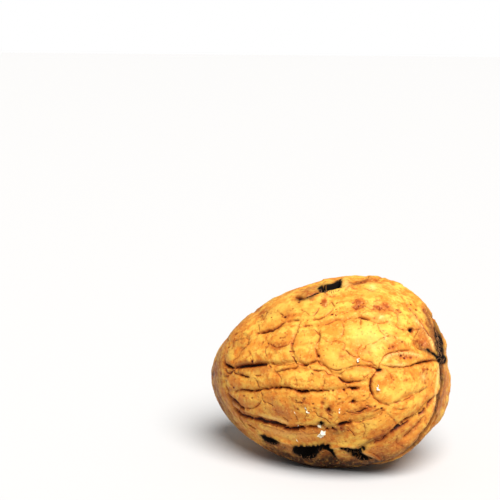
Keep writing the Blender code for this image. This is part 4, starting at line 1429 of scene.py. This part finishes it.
def thread_mesh(surface):
    """Paths of the threads, each from the shell out along its lean; one that would miss it is left out."""
    draw = random.Random(THREAD_SEED)
    _, right, up, _ = eye_frame()
    vertices, edges, half_widths = [], [], []
    for count, scatter, length, thickness, lean, pixels in THREADS.values():
        path = smooth_path(pixels, 1.0)
        for _ in range(count):
            pixel = path[draw.randrange(len(path))] + np.array([draw.gauss(0.0, scatter) for _ in range(2)])
            root, normal = on_shell(surface, pixel)
            if root is None:
                continue
            angle = math.radians(lean + draw.gauss(0.0, THREAD_SPREAD))
            way = right * math.cos(angle) + up * math.sin(angle) + normal * THREAD_LIFT
            step = length * MM * draw.uniform(*THREAD_LENGTHS) / (THREAD_POINTS - 1)
            half_width = thickness * MM * draw.uniform(*THREAD_WIDTHS)
            first = len(vertices)
            for index in range(THREAD_POINTS):
                vertices.append(root.copy())
                half_widths.append(half_width * (1.0 - THREAD_TAPER * index / (THREAD_POINTS - 1)))
                way = (way + THREAD_CURL * drift(root / MM)).normalized()
                root = root + way * step
            edges += [(index, index + 1) for index in range(first, len(vertices) - 1)]
    mesh = bpy.data.meshes.new("thread_paths")
    mesh.from_pydata(vertices, edges, [])
    add_marks(mesh, {"half_width": half_widths})
    return mesh


def thread_tree(material):
    """Tapered threads along the paths."""
    tree, wiring, given, identifiers = start_tree("shell_threads", THREAD_SIZES)
    paths = wiring.add("GeometryNodeMeshToCurve", {0: given["Geometry"]}).outputs[0]
    profile = wiring.add("GeometryNodeCurvePrimitiveCircle", {0: THREAD_SIDES, 4: 1.0}).outputs[0]
    half_width = wiring.add("GeometryNodeInputNamedAttribute", {"Name": "half_width"}).outputs[0]
    scale = wiring.math("MULTIPLY", half_width, given["Thickness"])
    inputs = {"Curve": paths, "Profile Curve": profile, "Scale": scale, "Fill Caps": True}
    end_tree(wiring, wiring.add("GeometryNodeCurveToMesh", inputs).outputs[0], material)
    return tree, identifiers


def make_threads(surface):
    tree, identifiers = thread_tree(plain_paint("walnut_threads", FIBRE, THREAD_ROUGHNESS, THREAD_CLOUDS))
    mesh = grown("walnut_threads", thread_mesh(surface), tree, identifiers, THREAD_SIZES)
    return finish_piece("walnut_threads", outward(mesh))


def crumb_mesh(surface):
    """A point for every crumb and sliver on the shell, with its direction and its three half sizes."""
    draw = random.Random(CRUMB_SEED)
    _, right, up, _ = eye_frame()
    places, ways, sizes = [], [], []
    for across, down, length, width in CRUMBS:
        place, normal = on_shell(surface, (across, down))
        angle = draw.uniform(0.0, math.pi)
        places.append(place + normal * width * MM * CRUMB_LIFT)
        ways.append(right * math.cos(angle) + up * math.sin(angle))
        sizes.append((length * MM / 2, width * MM / 2, width * MM / 2 * CRUMB_FLATNESS))
    for start, end in SLIVERS:
        ends = [on_shell(surface, pixel)[0] for pixel in (start, end)]
        places.append((ends[0] + ends[1]) / 2)
        ways.append((ends[1] - ends[0]).normalized())
        sizes.append(((ends[1] - ends[0]).length / 2, SLIVER_HALF_WIDTH * MM, SLIVER_HALF_HEIGHT * MM))
    mesh = bpy.data.meshes.new("crumb_places")
    mesh.from_pydata(places, [], [])
    for name, vectors in (("way", ways), ("size", sizes)):
        attribute = mesh.attributes.new(name, "FLOAT_VECTOR", "POINT")
        attribute.data.foreach_set("vector", np.array([tuple(vector) for vector in vectors],
                                                      dtype=np.float32).ravel())
    return mesh


def crumb_tree(material):
    """Rough little lumps, each stretched and turned as its point says."""
    tree, wiring, given, identifiers = start_tree("shell_crumbs", CRUMB_SIZES)
    way, size = (wiring.add("GeometryNodeInputNamedAttribute", {"Name": name},
                            data_type="FLOAT_VECTOR").outputs[0] for name in ("way", "size"))
    lump = wiring.add("GeometryNodeMeshIcoSphere", {"Radius": 1.0, "Subdivisions": CRUMB_LEVEL}).outputs[0]
    turn = wiring.add("FunctionNodeAlignRotationToVector", {"Vector": way}, axis="X").outputs[0]
    inputs = {0: given["Geometry"], 2: lump, 5: turn, 6: wiring.scaled(size, given["Crumb Size"])}
    placed = wiring.add("GeometryNodeInstanceOnPoints", inputs).outputs[0]
    real = wiring.add("GeometryNodeRealizeInstances", {0: placed}).outputs[0]
    place = wiring.add("GeometryNodeInputPosition").outputs[0]
    scale = wiring.math("DIVIDE", 1.0, given["Rough Length"])
    cloud = wiring.add("ShaderNodeTexNoise", {"Vector": place, "Scale": scale}).outputs["Color"]
    push = wiring.scaled(wiring.vector("SUBTRACT", cloud, (0.5, 0.5, 0.5)), given["Rough Height"])
    moved = wiring.add("GeometryNodeSetPosition", {0: real, "Offset": push}).outputs[0]
    end_tree(wiring, moved, material)
    return tree, identifiers


def make_crumbs(surface):
    tree, identifiers = crumb_tree(plain_paint("walnut_crumbs", CRUMB, CRUMB_ROUGHNESS, CRUMB_CLOUDS))
    mesh = grown("walnut_crumbs", crumb_mesh(surface), tree, identifiers, CRUMB_SIZES)
    return finish_piece("walnut_crumbs", outward(mesh))


def outward(mesh):
    """Turn every face of a mesh of closed bodies outwards."""
    shape = bmesh.new()
    shape.from_mesh(mesh)
    bmesh.ops.recalc_face_normals(shape, faces=shape.faces[:])
    shape.to_mesh(mesh)
    shape.free()
    return mesh


def make_table():
    bpy.ops.mesh.primitive_plane_add(size=TABLE_SIZE, location=(0.0, 0.0, 0.0))
    table = bpy.context.object
    table.name = "table_top"
    material = bpy.data.materials.new("table_top")
    material.use_nodes = True
    surface = material.node_tree.nodes["Principled BSDF"]
    surface.inputs["Base Color"].default_value = TABLE
    surface.inputs["Roughness"].default_value = TABLE_ROUGHNESS
    table.data.materials.append(material)


def make_camera():
    data = bpy.data.cameras.new("camera")
    data.sensor_width = SENSOR
    data.lens = FOCAL_PIXELS / FRAME_PIXELS * SENSOR
    data.clip_start = NEAREST_SEEN
    camera = bpy.data.objects.new("camera", data)
    bpy.context.scene.collection.objects.link(camera)
    heading, pitch = eye_angles()
    eye, _, _, _ = eye_frame()
    camera.location = NUT_MIDDLE + eye
    camera.rotation_euler = (math.pi / 2 - pitch, 0.0, heading)
    bpy.context.scene.camera = camera


def make_light():
    world = bpy.data.worlds.new("studio")
    world.use_nodes = True
    wiring = Wiring(world.node_tree)
    seen = wiring.add("ShaderNodeLightPath").outputs["Is Camera Ray"]
    strength = wiring.spread(seen, 0.0, 1.0, FILL_STRENGTH, 1.0)
    background = world.node_tree.nodes["Background"]
    background.inputs["Color"].default_value = (1.0, 1.0, 1.0, 1.0)
    wiring.feed(background.inputs["Strength"], strength)
    bpy.context.scene.world = world
    data = bpy.data.lights.new("key", "SUN")
    data.energy = KEY_STRENGTH
    data.angle = KEY_ANGLE
    light = bpy.data.objects.new("key", data)
    bpy.context.scene.collection.objects.link(light)
    source = Vector((math.sin(KEY_AZIMUTH) * math.cos(KEY_ELEVATION),
                     -math.cos(KEY_AZIMUTH) * math.cos(KEY_ELEVATION), math.sin(KEY_ELEVATION)))
    light.rotation_euler = source.to_track_quat("Z", "Y").to_euler()
    bpy.context.scene.view_settings.view_transform = "Standard"


# Swellings are laid on the smooth form, furrows on the swollen one and all other traces on both
LAID = {
    "swellings": [],
    "furrows": [],
}
LAID["swellings"] = lay_strokes(SWELLINGS)
LAID["furrows"] = lay_furrows()
make_camera()
shell_surface = BVHTree.FromObject(make_shell(), bpy.context.evaluated_depsgraph_get())
make_threads(shell_surface)
make_crumbs(shell_surface)
make_table()
make_light()
